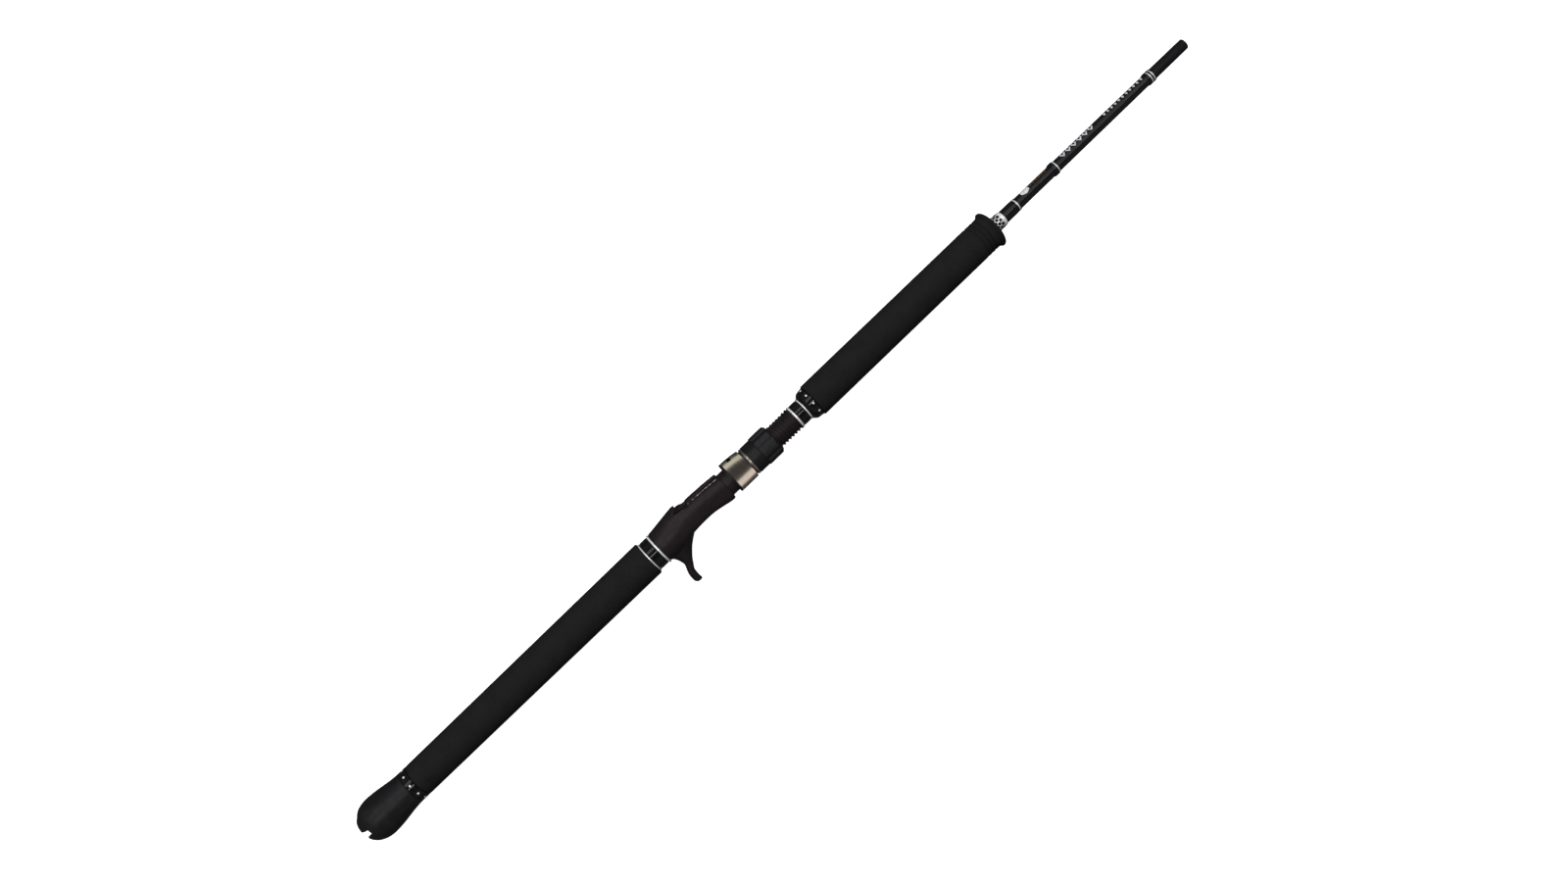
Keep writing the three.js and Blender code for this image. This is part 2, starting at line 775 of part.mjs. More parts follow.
place("front_edge_ring", plainSleeve(frontRing, threadRadius), materials.bright);
place("front_collar", plainSleeve(frontCollar, frontCollarRadius), materials.glossBlack);
place("fore_edge_ring", plainSleeve(foreRing, frontCollarRadius + ringProud), materials.bright);
place("fore_trim_ring", foreTrimRing(), materials.trimBlack);
place("fore_grip", foreGripSleeve(), materials.foam);

const tipBand = (index) => ringWrapBand(tipWrap, tipWrapWall, tipBandOffsets[index]);
place("winding_check", wound(check, checkWall, bondGap), materials.bright);
place("butt_wrap", wound(buttWrap, buttWrapWall), materials.winding);
place("butt_wrap_band", wound(buttBand, buttBandWall), materials.bright);
place("mid_wrap", ringWrap(midWrap, midWrapWall, [midBandOffset]), materials.winding);
place("mid_wrap_band", ringWrapBand(midWrap, midWrapWall, midBandOffset), materials.bright);
place("tip_wrap", ringWrap(tipWrap, tipWrapWall, tipBandOffsets), materials.winding);
place("tip_wrap_band_rear", tipBand(0), materials.bright);
place("tip_wrap_band_front", tipBand(1), materials.bright);

const group = new THREE.Group();
group.add(rod);

export default group;
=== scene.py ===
import math

import bmesh
import bpy
from bpy.props import FloatProperty, FloatVectorProperty, IntProperty, PointerProperty
from mathutils import Matrix, Vector


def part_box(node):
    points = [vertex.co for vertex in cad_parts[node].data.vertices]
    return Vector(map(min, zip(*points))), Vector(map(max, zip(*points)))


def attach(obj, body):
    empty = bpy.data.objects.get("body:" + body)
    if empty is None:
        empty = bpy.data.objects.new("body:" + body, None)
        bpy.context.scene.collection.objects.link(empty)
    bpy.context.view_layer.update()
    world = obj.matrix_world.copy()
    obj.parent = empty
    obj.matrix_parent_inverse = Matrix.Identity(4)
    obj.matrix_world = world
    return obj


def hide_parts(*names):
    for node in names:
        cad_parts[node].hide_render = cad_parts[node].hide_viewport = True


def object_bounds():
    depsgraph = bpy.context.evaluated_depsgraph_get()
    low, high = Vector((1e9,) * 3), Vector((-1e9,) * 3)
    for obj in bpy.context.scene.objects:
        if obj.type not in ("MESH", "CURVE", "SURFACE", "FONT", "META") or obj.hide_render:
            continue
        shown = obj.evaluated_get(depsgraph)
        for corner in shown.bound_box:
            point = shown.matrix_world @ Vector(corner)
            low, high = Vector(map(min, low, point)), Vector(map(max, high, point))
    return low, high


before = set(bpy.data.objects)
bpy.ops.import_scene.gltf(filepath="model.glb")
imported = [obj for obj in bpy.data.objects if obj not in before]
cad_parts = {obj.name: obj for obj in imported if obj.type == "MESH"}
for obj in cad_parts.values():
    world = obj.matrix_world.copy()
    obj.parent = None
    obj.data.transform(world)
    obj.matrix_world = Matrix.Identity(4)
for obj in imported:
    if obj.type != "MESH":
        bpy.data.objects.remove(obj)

bl_info = {
    "name": "Boat rod handle",
    "version": (1, 0, 0),
    "blender": (4, 5, 0),
    "location": "View3D > Sidebar > Rod",
    "description": "Finished pieces of a boat rod's handle, built over its packed solids",
    "category": "Add Mesh",
}

# Outlines, sections and places are in millimetres and are scaled where a mesh is made.
# x runs along the rod from butt to tip. A piece that isn't the same all round is modelled
# with the reel side up and then rolled to how the rod lies.
MM = 0.001
CAD_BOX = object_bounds()
ROLL = math.radians(-70)  # from reel side up to the rod's place on the floor
AROUND = 96  # steps round a turned piece
GLUE = 0.3  # between the blank and what is slid onto it
BLANK_BORE = 4.2
WELD = 1e-7


def mm(metres):
    return metres / MM


def span(node):
    """Start and end of a CAD node along the rod."""
    low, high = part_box(node)
    return mm(low.x), mm(high.x)


def radii(node):
    """Distances of a CAD node's points from the rod's axis."""
    return [mm(math.hypot(v.co.y, v.co.z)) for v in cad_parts[node].data.vertices]


def rim(node):
    """Largest radius of a CAD node."""
    return max(radii(node))


def blank_radius(x):
    """Outer radius of the tapering blank."""
    start, tip_start = span("blank")[0], span("blank_tip")[0]
    low, high = rim("blank"), rim("blank_tip")
    return low + (high - low) * (x - start) / (tip_start - start)


def slid_on(start, end):
    """Bore, at its two ends, of a piece that is slid onto the blank."""
    return blank_radius(start) + GLUE, blank_radius(end) + GLUE


def colour(code):
    """A hex colour as linear red, green and blue."""
    parts = [int(code[i : i + 2], 16) / 255 for i in (1, 3, 5)]
    return [p / 12.92 if p <= 0.04045 else ((p + 0.055) / 1.055) ** 2.4 for p in parts]


# ---------------------------------------------------------------- properties


def length(name, description, default):
    return FloatProperty(
        name=name, description=description, default=default * MM, min=0.0, unit="LENGTH",
        precision=5,
    )


def paint(name, description, code):
    return FloatVectorProperty(
        name=name, description=description, default=colour(code), size=3, min=0.0, max=1.0,
        subtype="COLOR",
    )


class RodSizes(bpy.types.PropertyGroup):
    """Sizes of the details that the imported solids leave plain."""

    foam_edge: length("Foam edge", "Rounding of the foam grips' ends", 1.0)
    cap_edge: length("Cap edge", "Rounding along the butt cap's cross slot", 0.7)
    slot_width: length("Slot width", "Width of the butt cap's cross slot", 8.0)
    ring_edge: length("Ring edge", "Rounding of the bright rings", 0.28)
    collar_edge: length("Collar edge", "Rounding of the gloss collars", 0.8)
    dot_radius: length("Dot radius", "Radius of the pearl dots in the trim rings", 0.95)
    dot_rise: length("Dot rise", "Height of a pearl dot above its ring", 0.25)
    dot_count: IntProperty(
        name="Dots", description="Pearl dots round each trim ring", default=10, min=3, max=24
    )
    groove_depth: length("Groove depth", "Depth of the fore grip's three grooves", 0.9)
    thread_pitch: length("Thread pitch", "Pitch of the reel seat's screw thread", 3.3)
    thread_depth: length("Thread depth", "Depth of the reel seat's screw thread", 1.2)
    shell_wall: length("Shell wall", "Thickness of the sliding hood's steel shell", 0.8)
    window: length("Window", "Length of the window in the hood's shell along the rod", 3.4)
    winding_turn: length("Winding turn", "Width of one turn of winding thread", 0.36)
    winding_ridge: length("Winding ridge", "Height of one turn under its coating", 0.035)
    foil_lift: length("Foil lift", "Height of the foil marks above the blank", 0.05)


class RodColours(bpy.types.PropertyGroup):
    """Colours of the rod's finishes."""

    foam: paint("Foam", "Closed-cell foam of the grips", "#1d1d1d")
    rubber: paint("Rubber", "Rubber of the butt cap", "#1a191b")
    seat: paint("Seat", "Moulded reel seat", "#211c1d")
    # Painted highlight, partly rubbed wear: the light colour of the bead on the seat rail's edge.
    highlight_and_wear: paint("Edge highlight and wear", "Painted highlight and rubbed wear on the reel seat rail's edge", "#a39391")
    nut: paint("Nut", "Lock nut and hood lining", "#19191b")
    trim: paint("Trim", "Dotted trim rings", "#0b0c0c")
    gloss: paint("Gloss", "Gloss collars", "#060607")
    steel: paint("Steel", "Brushed shell of the sliding hood", "#e2d8cb")
    bright: paint("Bright", "Polished rings", "#e9eaec")
    pearl: paint("Pearl", "Dots in the trim rings", "#f2f3f4")
    winding: paint("Winding", "Black thread windings", "#08080a")
    silver: paint("Silver thread", "Metallic bands in the windings", "#d6d8db")
    blank: paint("Blank", "Gloss blank", "#0d0e11")
    matt: paint("Matt blank", "Uncoated tip of the blank", "#151517")
    arbor: paint("Arbor", "Spacers inside the reel seat", "#6f6a60")
    foil_light: paint("Light foil", "Light foil marks", "#dcdddf")
    foil_warm: paint("Warm foil", "Warm foil marks", "#5a4526")
    floor: paint("Floor", "Studio floor", "#f4f4f4")


# ---------------------------------------------------------------- modelling by operators


def alone(piece=None):
    """Object mode, with only this piece selected, or nothing."""
    if bpy.context.object and bpy.context.object.mode != "OBJECT":
        bpy.ops.object.mode_set(mode="OBJECT")
    bpy.ops.object.select_all(action="DESELECT")
    if piece:
        piece.select_set(True)
        bpy.context.view_layer.objects.active = piece


def named(name):
    piece = bpy.context.object
    piece.name = piece.data.name = name
    return piece


def settled(piece):
    """Puts the object's place and turn into its mesh."""
    alone(piece)
    bpy.ops.object.transform_apply(location=True, rotation=True, scale=True)
    return piece


def rolled(piece):
    """Rolls a piece that was modelled reel side up."""
    piece.rotation_euler.x = ROLL
    return settled(piece)


def editing(piece):
    """Edit mode on this piece, with all of it selected."""
    alone(piece)
    bpy.ops.object.mode_set(mode="EDIT")
    bpy.ops.mesh.select_all(action="SELECT")


def tidied(piece):
    """Welds doubles and turns every face outwards."""
    editing(piece)
    bpy.ops.mesh.remove_doubles(threshold=WELD)
    bpy.ops.mesh.normals_make_consistent(inside=False)
    bpy.ops.object.mode_set(mode="OBJECT")
    return piece


def drawn(name, outline):
    """An outline of (x, radius) points, extruded from one vertex to the next."""
    alone()
    x, radius = outline[0]
    bpy.ops.mesh.primitive_plane_add(size=MM, location=(0, 0, 0))
    piece = named(name)
    editing(piece)
    bpy.ops.mesh.merge(type="CENTER")
    bpy.ops.transform.translate(value=(x * MM, 0, radius * MM))
    for (x0, r0), (x1, r1) in zip(outline, outline[1:]):
        bpy.ops.mesh.extrude_vertices_move(
            TRANSFORM_OT_translate={"value": ((x1 - x0) * MM, 0, (r1 - r0) * MM)}
        )
    return piece


def turned(name, outline, steps):
    """Spins an outline about the rod's axis. It closes on itself, or on the axis."""
    on_axis = outline[0][1] == 0 and outline[-1][1] == 0
    piece = drawn(name, outline if on_axis else [*outline, outline[0]])
    bpy.ops.mesh.select_all(action="SELECT")
    bpy.ops.mesh.remove_doubles(threshold=1e-8)
    bpy.ops.mesh.spin(
        steps=steps, angle=2 * math.pi, center=(0, 0, 0), axis=(1, 0, 0), use_auto_merge=True
    )
    return tidied(piece)


def sleeve(name, outer, bore, steps=AROUND):
    """A turned piece with an outer outline and a bore, given at both ends."""
    inner = bore if isinstance(bore, (tuple, list)) else (bore, bore)
    return turned(name, [*outer, (outer[-1][0], inner[1]), (outer[0][0], inner[0])], steps)


def lofted(name, sections):
    """A closed body over rings of points: a disc, extruded from ring to ring."""
    count = len(sections[0])
    alone()
    bpy.ops.mesh.primitive_circle_add(vertices=count, radius=MM, fill_type="NGON")
    piece = named(name)
    editing(piece)
    ring = list(range(count))
    for i, section in enumerate(sections):
        if i:
            bpy.ops.mesh.extrude_region_move(TRANSFORM_OT_translate={"value": (MM, 0, 0)})
        form = bmesh.from_edit_mesh(piece.data)
        form.verts.ensure_lookup_table()
        form.verts.index_update()
        if i:
            follows = {}
            for vert in form.verts:
                if vert.select:
                    for edge in vert.link_edges:
                        other = edge.other_vert(vert)
                        if not other.select:
                            follows[other.index] = vert.index
            ring = [follows[index] for index in ring]
        for index, point in zip(ring, section):
            form.verts[index].co = Vector(point) * MM
        bmesh.update_edit_mesh(piece.data)
    return tidied(piece)


def cube(name, x0, x1, y0, y1, z0, z1):
    alone()
    bpy.ops.mesh.primitive_cube_add(
        size=MM,
        location=((x0 + x1) / 2 * MM, (y0 + y1) / 2 * MM, (z0 + z1) / 2 * MM),
        scale=(x1 - x0, y1 - y0, z1 - z0),
    )
    return settled(named(name))


def rod(name, x0, x1, radius, z=0.0, steps=AROUND):
    """A cylinder along x."""
    alone()
    bpy.ops.mesh.primitive_cylinder_add(
        vertices=steps, radius=radius * MM, depth=(x1 - x0) * MM,
        location=((x0 + x1) / 2 * MM, 0, z * MM), rotation=(0, math.pi / 2, 0),
    )
    return settled(named(name))


def peg(name, x, radius, size, low, high, steps=24):
    """A short round peg on the reel side, from below to above a radius."""
    alone()
    bpy.ops.mesh.primitive_cylinder_add(
        vertices=steps, radius=size * MM, depth=(high - low) * MM,
        location=(x * MM, 0, (radius + (low + high) / 2) * MM),
    )
    return settled(named(name))


def joined(name, pieces):
    alone(pieces[0])
    for piece in pieces:
        piece.select_set(True)
    bpy.ops.object.join()
    return named(name)


def modified(piece, kind, **settings):
    """Adds a modifier and applies it."""
    alone(piece)
    modifier = piece.modifiers.new(kind.title(), kind)
    for key, value in settings.items():
        setattr(modifier, key, value)
    bpy.ops.object.modifier_apply(modifier=modifier.name)
    return piece


def combined(piece, other, operation):
    before = len(piece.data.vertices)
    modified(piece, "BOOLEAN", operation=operation, object=other, solver="MANIFOLD")
    if len(piece.data.vertices) in (0, before):
        raise RuntimeError(f"{operation.lower()} of {piece.name} and {other.name} did nothing")
    bpy.data.objects.remove(other)
    return piece


def cut(piece, *tools):
    for tool in tools:
        combined(piece, tool, "DIFFERENCE")
    return piece


def added(piece, *others):
    for other in others:
        combined(piece, other, "UNION")
    return piece


def rounded(piece, width, segments, angle):
    """Rounds the edges that turn by more than an angle."""
    return modified(
        piece, "BEVEL", width=width * MM, segments=segments, limit_method="ANGLE",
        angle_limit=math.radians(angle), use_clamp_overlap=True, harden_normals=False,
    )


def completed(piece, finish, slot, body="root", replaces=(), angle=32):
    """Shading, finish (by name) and place in the frame of a fully modelled piece."""
    alone(piece)
    bpy.ops.object.shade_smooth_by_angle(angle=math.radians(angle))
    piece.data.materials.clear()
    piece.data.materials.append(finish_of(finish))
    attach(piece, body)
    if replaces:
        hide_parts(*replaces)
    return piece


def copies_round(piece, count, first):
    """Copies of a piece round the rod, joined and turned by a first angle."""
    made = [piece]
    for i in range(1, count):
        alone(piece)
        bpy.ops.object.duplicate()
        copy = bpy.context.object
        copy.rotation_euler.x = 2 * math.pi * i / count
        made.append(settled(copy))
    whole = joined(piece.name, made)
    whole.rotation_euler.x = first
    return settled(whole)


def curve_through(rows, steps):
    """Smooth rows between given rows. The first value of each row is its place."""
    places = [row[0] for row in rows]
    slopes = []
    for i in range(len(rows)):
        low, high = max(i - 1, 0), min(i + 1, len(rows) - 1)
        run = places[high] - places[low]
        slopes.append([(b - a) / run for a, b in zip(rows[low], rows[high])])
    made = []
    for k in range(steps + 1):
        place = places[0] + (places[-1] - places[0]) * k / steps
        i = min(sum(p <= place for p in places[1:-1]), len(rows) - 2)
        run = places[i + 1] - places[i]
        t = (place - places[i]) / run
        a, b = 2 * t**3 - 3 * t**2 + 1, t**3 - 2 * t**2 + t
        c, d = -2 * t**3 + 3 * t**2, t**3 - t**2
        made.append([
            a * p + b * run * m + c * q + d * run * n
            for p, m, q, n in zip(rows[i], slopes[i], rows[i + 1], slopes[i + 1])
        ])
    return made


def cross_section(x, half_width, top, bottom, squareness=1.0, count=AROUND):
    """A section across the rod: an ellipse that is squarer the smaller its exponent is."""
    points = []
    for i in range(count):
        angle = 2 * math.pi * i / count
        across, up = math.cos(angle), math.sin(angle)
        y = math.copysign(abs(across) ** squareness, across)
        z = math.copysign(abs(up) ** squareness, up)
        points.append((x, half_width * y, (top if up > 0 else bottom) * z))
    return points


def arc(count, point):
    return [point(i / count) for i in range(count + 1)]


def quarter(count, start, end, steep):
    """A quarter of an ellipse between two points, steep where it starts or where it ends."""
    (x0, r0), (x1, r1) = start, end

    def point(t):
        near, far = math.sin(t * math.pi / 2), 1 - math.cos(t * math.pi / 2)
        along, out = (far, near) if steep else (near, far)
        return x0 + (x1 - x0) * along, r0 + (r1 - r0) * out

    return arc(count, point)


# ---------------------------------------------------------------- finishes


class Finish:
    """A material whose pattern nodes read Object coordinates."""

    def __init__(self, name, metallic=0.0, specular=0.5, coat=0.0):
        self.material = bpy.data.materials.new(name)
        self.material.use_nodes = True
        tree = self.material.node_tree
        self.nodes, self.links = tree.nodes, tree.links
        self.shader = self.nodes["Principled BSDF"]
        self.shader.inputs["Metallic"].default_value = metallic
        self.shader.inputs["Specular IOR Level"].default_value = specular
        self.shader.inputs["Coat Weight"].default_value = coat
        self.shader.inputs["Coat Roughness"].default_value = 0.04
        self.where = self.add("ShaderNodeTexCoord").outputs["Object"]
        self.height = None

    def add(self, kind, inputs=None, **settings):
        node = self.nodes.new(kind)
        for key, value in settings.items():
            setattr(node, key, value)
        for key, value in (inputs or {}).items():
            if isinstance(value, bpy.types.NodeSocket):
                self.links.new(value, node.inputs[key])
            else:
                node.inputs[key].default_value = value
        return node

    def stretched(self, scale):
        return self.add(
            "ShaderNodeMapping", {"Vector": self.where, "Scale": scale}
        ).outputs["Vector"]

    def noise(self, scale, detail=3.0, stretch=(1, 1, 1)):
        return self.add(
            "ShaderNodeTexNoise",
            {"Vector": self.stretched(stretch), "Scale": scale, "Detail": detail},
        ).outputs["Fac"]

    def cells(self, scale):
        return self.add(
            "ShaderNodeTexVoronoi", {"Vector": self.where, "Scale": scale}
        ).outputs["Distance"]

    def maths(self, operation, first, second):
        return self.add("ShaderNodeMath", {0: first, 1: second}, operation=operation).outputs[0]

    def painted(self, factor, base, spread, low=0.35, high=0.65):
        """Base colour, darker and lighter by a share as the factor goes from low to high."""
        ramp = self.add("ShaderNodeValToRGB", {"Fac": factor})
        for element, place, share in zip(ramp.color_ramp.elements, (low, high), (-1, 1)):
            element.position = place
            element.color = [*(min(1.0, c * (1 + share * spread)) for c in base), 1]
        self.links.new(ramp.outputs["Color"], self.shader.inputs["Base Color"])

    def rough(self, factor, low, high):
        spread = self.add(
            "ShaderNodeMapRange",
            {"Value": factor, "From Min": 0.3, "From Max": 0.7, "To Min": low, "To Max": high},
        )
        self.links.new(spread.outputs["Result"], self.shader.inputs["Roughness"])

    def bumped(self, factor, distance, strength):
        """Adds relief of a height in millimetres over what was added before."""
        inputs = {"Height": factor, "Distance": distance * MM, "Strength": strength}
        if self.height:
            inputs["Normal"] = self.height
        self.height = self.add("ShaderNodeBump", inputs).outputs["Normal"]
        self.links.new(self.height, self.shader.inputs["Normal"])


def foam_finish(base):
    """Closed-cell foam: fine open cells, dull, with faint mottling."""
    made = Finish("closed_cell_foam", specular=0.12)
    cells = made.cells(1500)
    made.painted(made.maths("ADD", cells, made.noise(90)), base, 0.28, 0.55, 1.2)
    made.rough(made.noise(400), 0.86, 0.96)
    made.bumped(made.noise(220, 4), 0.05, 0.5)
    made.bumped(cells, 0.09, 0.7)
    return made.material


def rubber_finish(base):
    """Moulded rubber: satin, with fine texture and faint handling marks."""
    made = Finish("moulded_rubber", specular=0.42)
    made.painted(made.noise(120, 5), base, 0.22)
    made.rough(made.noise(260, 4), 0.36, 0.5)
    made.bumped(made.noise(1800, 2), 0.02, 0.5)
    return made.material


def plastic_finish(name, base, low, high, specular):
    """Moulded plastic with a spark-eroded grain."""
    made = Finish(name, specular=specular)
    made.painted(made.noise(150, 4), base, 0.12)
    made.rough(made.noise(700, 3), low, high)
    made.bumped(made.noise(2600, 2), 0.015, 0.45)
    return made.material


def lacquer_finish(name, base, coat):
    """Deep gloss with faint polishing marks."""
    made = Finish(name, specular=0.4, coat=coat)
    made.painted(made.noise(500, 2), base, 0.3)
    made.rough(made.noise(900, 2), 0.1, 0.18)
    made.bumped(made.noise(140, 2), 0.004, 0.3)
    return made.material


def lathe_finish(name, base, low, high, lines, metallic=1.0):
    """Metal turned or brushed round the rod."""
    made = Finish(name, metallic=metallic)
    brushing = made.noise(lines, 3, (1, 0.02, 0.02))
    made.painted(brushing, base, 0.07)
    made.rough(brushing, low, high)
    made.bumped(brushing, 0.006, 0.35)
    return made.material


def thread_finish(name, base, metallic):
    """Winding thread under a clear coat, with a slight weave along each turn."""
    made = Finish(name, metallic=metallic, specular=0.3, coat=1.0)
    fibre = made.noise(2400, 2, (0.4, 1, 1))
    made.painted(fibre, base, 0.25)
    made.rough(fibre, 0.16, 0.32)
    made.bumped(fibre, 0.006, 0.4)
    return made.material


def blank_finish(base):
    """Clear-coated blank, with the faint spiral left by its binding tape."""
    made = Finish("gloss_blank", specular=0.25, coat=0.9)
    made.painted(made.noise(60, 3, (1, 6, 6)), base, 0.3)
    made.rough(made.noise(300, 3), 0.12, 0.2)
    made.bumped(made.noise(110, 2, (1.6, 1, 1)), 0.006, 0.35)
    return made.material


def matt_finish(base):
    """Uncoated blank, ground along its circumference."""
    made = Finish("matt_blank", specular=0.3)
    grinding = made.noise(1500, 3, (1, 0.05, 0.05))
    made.painted(grinding, base, 0.25)
    made.rough(grinding, 0.5, 0.66)
    made.bumped(grinding, 0.01, 0.5)
    return made.material


def foil_finish(name, base, metallic):
    """Pressed foil with a fine glitter."""
    made = Finish(name, metallic=metallic, coat=1.0)
    made.painted(made.cells(900), base, 0.3, 0.1, 0.8)
    made.rough(made.noise(700, 2), 0.22, 0.42)
    made.bumped(made.noise(1200, 2), 0.006, 0.4)
    return made.material


def highlight_and_wear_finish(base):
    """Painted highlight along a moulded edge, in short stretches, partly rubbed wear."""
    made = Finish("rubbed_edge", specular=0.5)
    # Noise breaks the painted highlight into short bright and dark stretches.
    made.painted(made.noise(700, 2, (1, 0.2, 0.2)), base, 0.95, 0.47, 0.53)
    made.rough(made.noise(700, 3), 0.3, 0.4)
    made.bumped(made.noise(2600, 2), 0.01, 0.4)
    return made.material


def pearl_finish(base):
    """Polished pearly inlay."""
    made = Finish("pearl_inlay", specular=0.6, coat=1.0)
    made.painted(made.noise(700, 3), base, 0.06)
    made.rough(made.noise(500, 2), 0.12, 0.25)
    return made.material


MAKERS = {
    "foam": lambda c: foam_finish(c.foam),
    "rubber": lambda c: rubber_finish(c.rubber),
    "highlight_and_wear": lambda c: highlight_and_wear_finish(c.highlight_and_wear),
    "seat": lambda c: plastic_finish("moulded_seat", c.seat, 0.36, 0.46, 0.35),
    "nut": lambda c: plastic_finish("moulded_nut", c.nut, 0.34, 0.44, 0.4),
    "trim": lambda c: lacquer_finish("trim_black", c.trim, 0.6),
    "gloss": lambda c: lacquer_finish("gloss_collar", c.gloss, 0.8),
    "steel": lambda c: lathe_finish("brushed_steel", c.steel, 0.24, 0.34, 5200),
    "bright": lambda c: lathe_finish("polished_ring", c.bright, 0.15, 0.25, 7000, 0.3),
    "pearl": lambda c: pearl_finish(c.pearl),
    "winding": lambda c: thread_finish("black_winding", c.winding, 0.0),
    "silver": lambda c: thread_finish("silver_winding", c.silver, 0.4),
    "blank": lambda c: blank_finish(c.blank),
    "matt": lambda c: matt_finish(c.matt),
    "arbor": lambda c: foam_finish(c.arbor),
    "foil_light": lambda c: foil_finish("light_foil", c.foil_light, 0.0),
    "foil_warm": lambda c: foil_finish("warm_foil", c.foil_warm, 0.2),
}
made_finishes = {}


def finish_of(name):
    """The finish with this name, made on first use."""
    if name not in made_finishes:
        made_finishes[name] = MAKERS[name](bpy.context.scene.rod_colours)
    return made_finishes[name]


# ---------------------------------------------------------------- stage


def aimed(name, piece, state):
    """Aims a light at chosen pieces only, or keeps a piece out of it."""
    light = bpy.data.objects[name].light_linking
    if light.receiver_collection is None:
        light.receiver_collection = bpy.data.collections.new(name + "_" + state.lower())
    light.receiver_collection.objects.link(piece)
    light.receiver_collection.collection_objects[-1].light_linking.link_state = state


class ROD_OT_stage(bpy.types.Operator):
    """Camera over the rod, pale floor and soft studio light"""

    bl_idname = "rod.stage"
    bl_label = "Stage"

    camera_place = (0.3708, -0.0079, 1.008)
    lens = 28.3
    tilt = math.radians(4.31)  # of the camera along the rod
    slant = math.radians(43.9)  # of the rod in the frame
    floor_gap = 0.0002
    floor_size = 120

    def execute(self, context):
        scene = context.scene
        scene.view_settings.view_transform = "Standard"
        self.set_camera(scene)
        self.set_floor(scene)
        self.softbox("key_light", (0.6, 0.74, 1.45), 4.6, (3.2, 0.5), (0.94, 0.96, 1.0))
        self.softbox("line_light", (0.6, -0.12, 1.6), 5.0, (3.2, 0.09), (1.0, 0.93, 0.94))
        self.softbox("steel_light_left", (0.42, 1.1, 0.3), 1.5, (0.9, 0.9), (0.98, 1.0, 0.86))
        self.softbox("steel_light_right", (0.42, -1.05, 0.35), 2.3, (0.9, 1.1), (1.0, 0.91, 0.86))
        self.softbox("ring_light", (0.6, 0.25, 1.4), 9.0, (3.2, 0.8), (1.0, 1.0, 1.0))
        self.overhead()
        self.surround(scene)
        return {"FINISHED"}

    def set_camera(self, scene):
        alone()
        along = Vector((math.cos(self.tilt), 0, math.sin(self.tilt)))
        across = Vector((0, 1, 0))
        right = math.cos(self.slant) * along - math.sin(self.slant) * across
        up = math.sin(self.slant) * along + math.cos(self.slant) * across
        bpy.ops.object.camera_add(location=self.camera_place)
        camera = bpy.context.object
        camera.name = "camera"
        turn = Matrix((right, up, right.cross(up))).transposed()
        camera.rotation_euler = turn.to_euler()
        camera.data.sensor_width = 36
        camera.data.lens = self.lens
        scene.camera = camera

    def set_floor(self, scene):
        """Shadowless white floor that glows a little and that shiny pieces don't mirror."""
        height = CAD_BOX[0].z - self.floor_gap
        bpy.ops.mesh.primitive_plane_add(size=self.floor_size, location=(0.45, 0, height))
        floor = named("floor")
        floor.visible_glossy = floor.visible_diffuse = floor.visible_shadow = False
        surface = Finish("studio_floor", specular=0.0)
        surface.painted(surface.noise(3, 1), scene.rod_colours.floor, 0.01)
        surface.rough(surface.noise(40, 1), 0.9, 1.0)
        surface.shader.inputs["Emission Color"].default_value = (1, 1, 1, 1)
        surface.shader.inputs["Emission Strength"].default_value = 0.9
        floor.data.materials.append(surface.material)

    def overhead(self):
        """Broad light from above, which shiny pieces don't mirror."""
        bpy.ops.object.light_add(
            type="SUN", location=(0.45, 0.5, 1.6), rotation=(math.radians(-24), 0, 0)
        )
        light = bpy.context.object
        light.name = "overhead_light"
        light.data.energy = 1.9
        light.data.angle = math.radians(60)
        light.visible_glossy = False

    def softbox(self, name, place, power, size, tint):
        """A rectangular light that faces the rod squarely."""
        bpy.ops.object.light_add(type="AREA", location=place)
        light = bpy.context.object
        light.name = name
        light.data.shape = "RECTANGLE"
        light.data.size, light.data.size_y = size
        light.data.energy = power
        light.data.color = tint
        aim = Vector((place[0], 0, 0)) - Vector(place)
        light.rotation_euler = aim.to_track_quat("-Z", "Y").to_euler()
        light.visible_camera = False

    def surround(self, scene):
        """Grey walls under a dark ceiling."""
        world = bpy.data.worlds.new("studio")
        scene.world = world
        world.use_nodes = True
        nodes, links = world.node_tree.nodes, world.node_tree.links
        place = nodes.new("ShaderNodeTexCoord")
        height = nodes.new("ShaderNodeSeparateXYZ")
        ramp = nodes.new("ShaderNodeValToRGB")
        links.new(place.outputs["Generated"], height.inputs[0])
        links.new(height.outputs["Z"], ramp.inputs["Fac"])
        stops = ramp.color_ramp.elements
        for element, where, level in zip(
            [stops[0], stops.new(0.3), stops.new(0.6), stops.new(0.8), stops[-1]],
            [0.0, 0.12, 0.62, 0.84, 1.0],
            [0.05, 0.13, 0.13, 0.05, 0.05],
        ):
            element.position = where
            element.color = (level, level, level, 1)
        links.new(ramp.outputs["Color"], nodes["Background"].inputs["Color"])


# ---------------------------------------------------------------- butt cap and grips


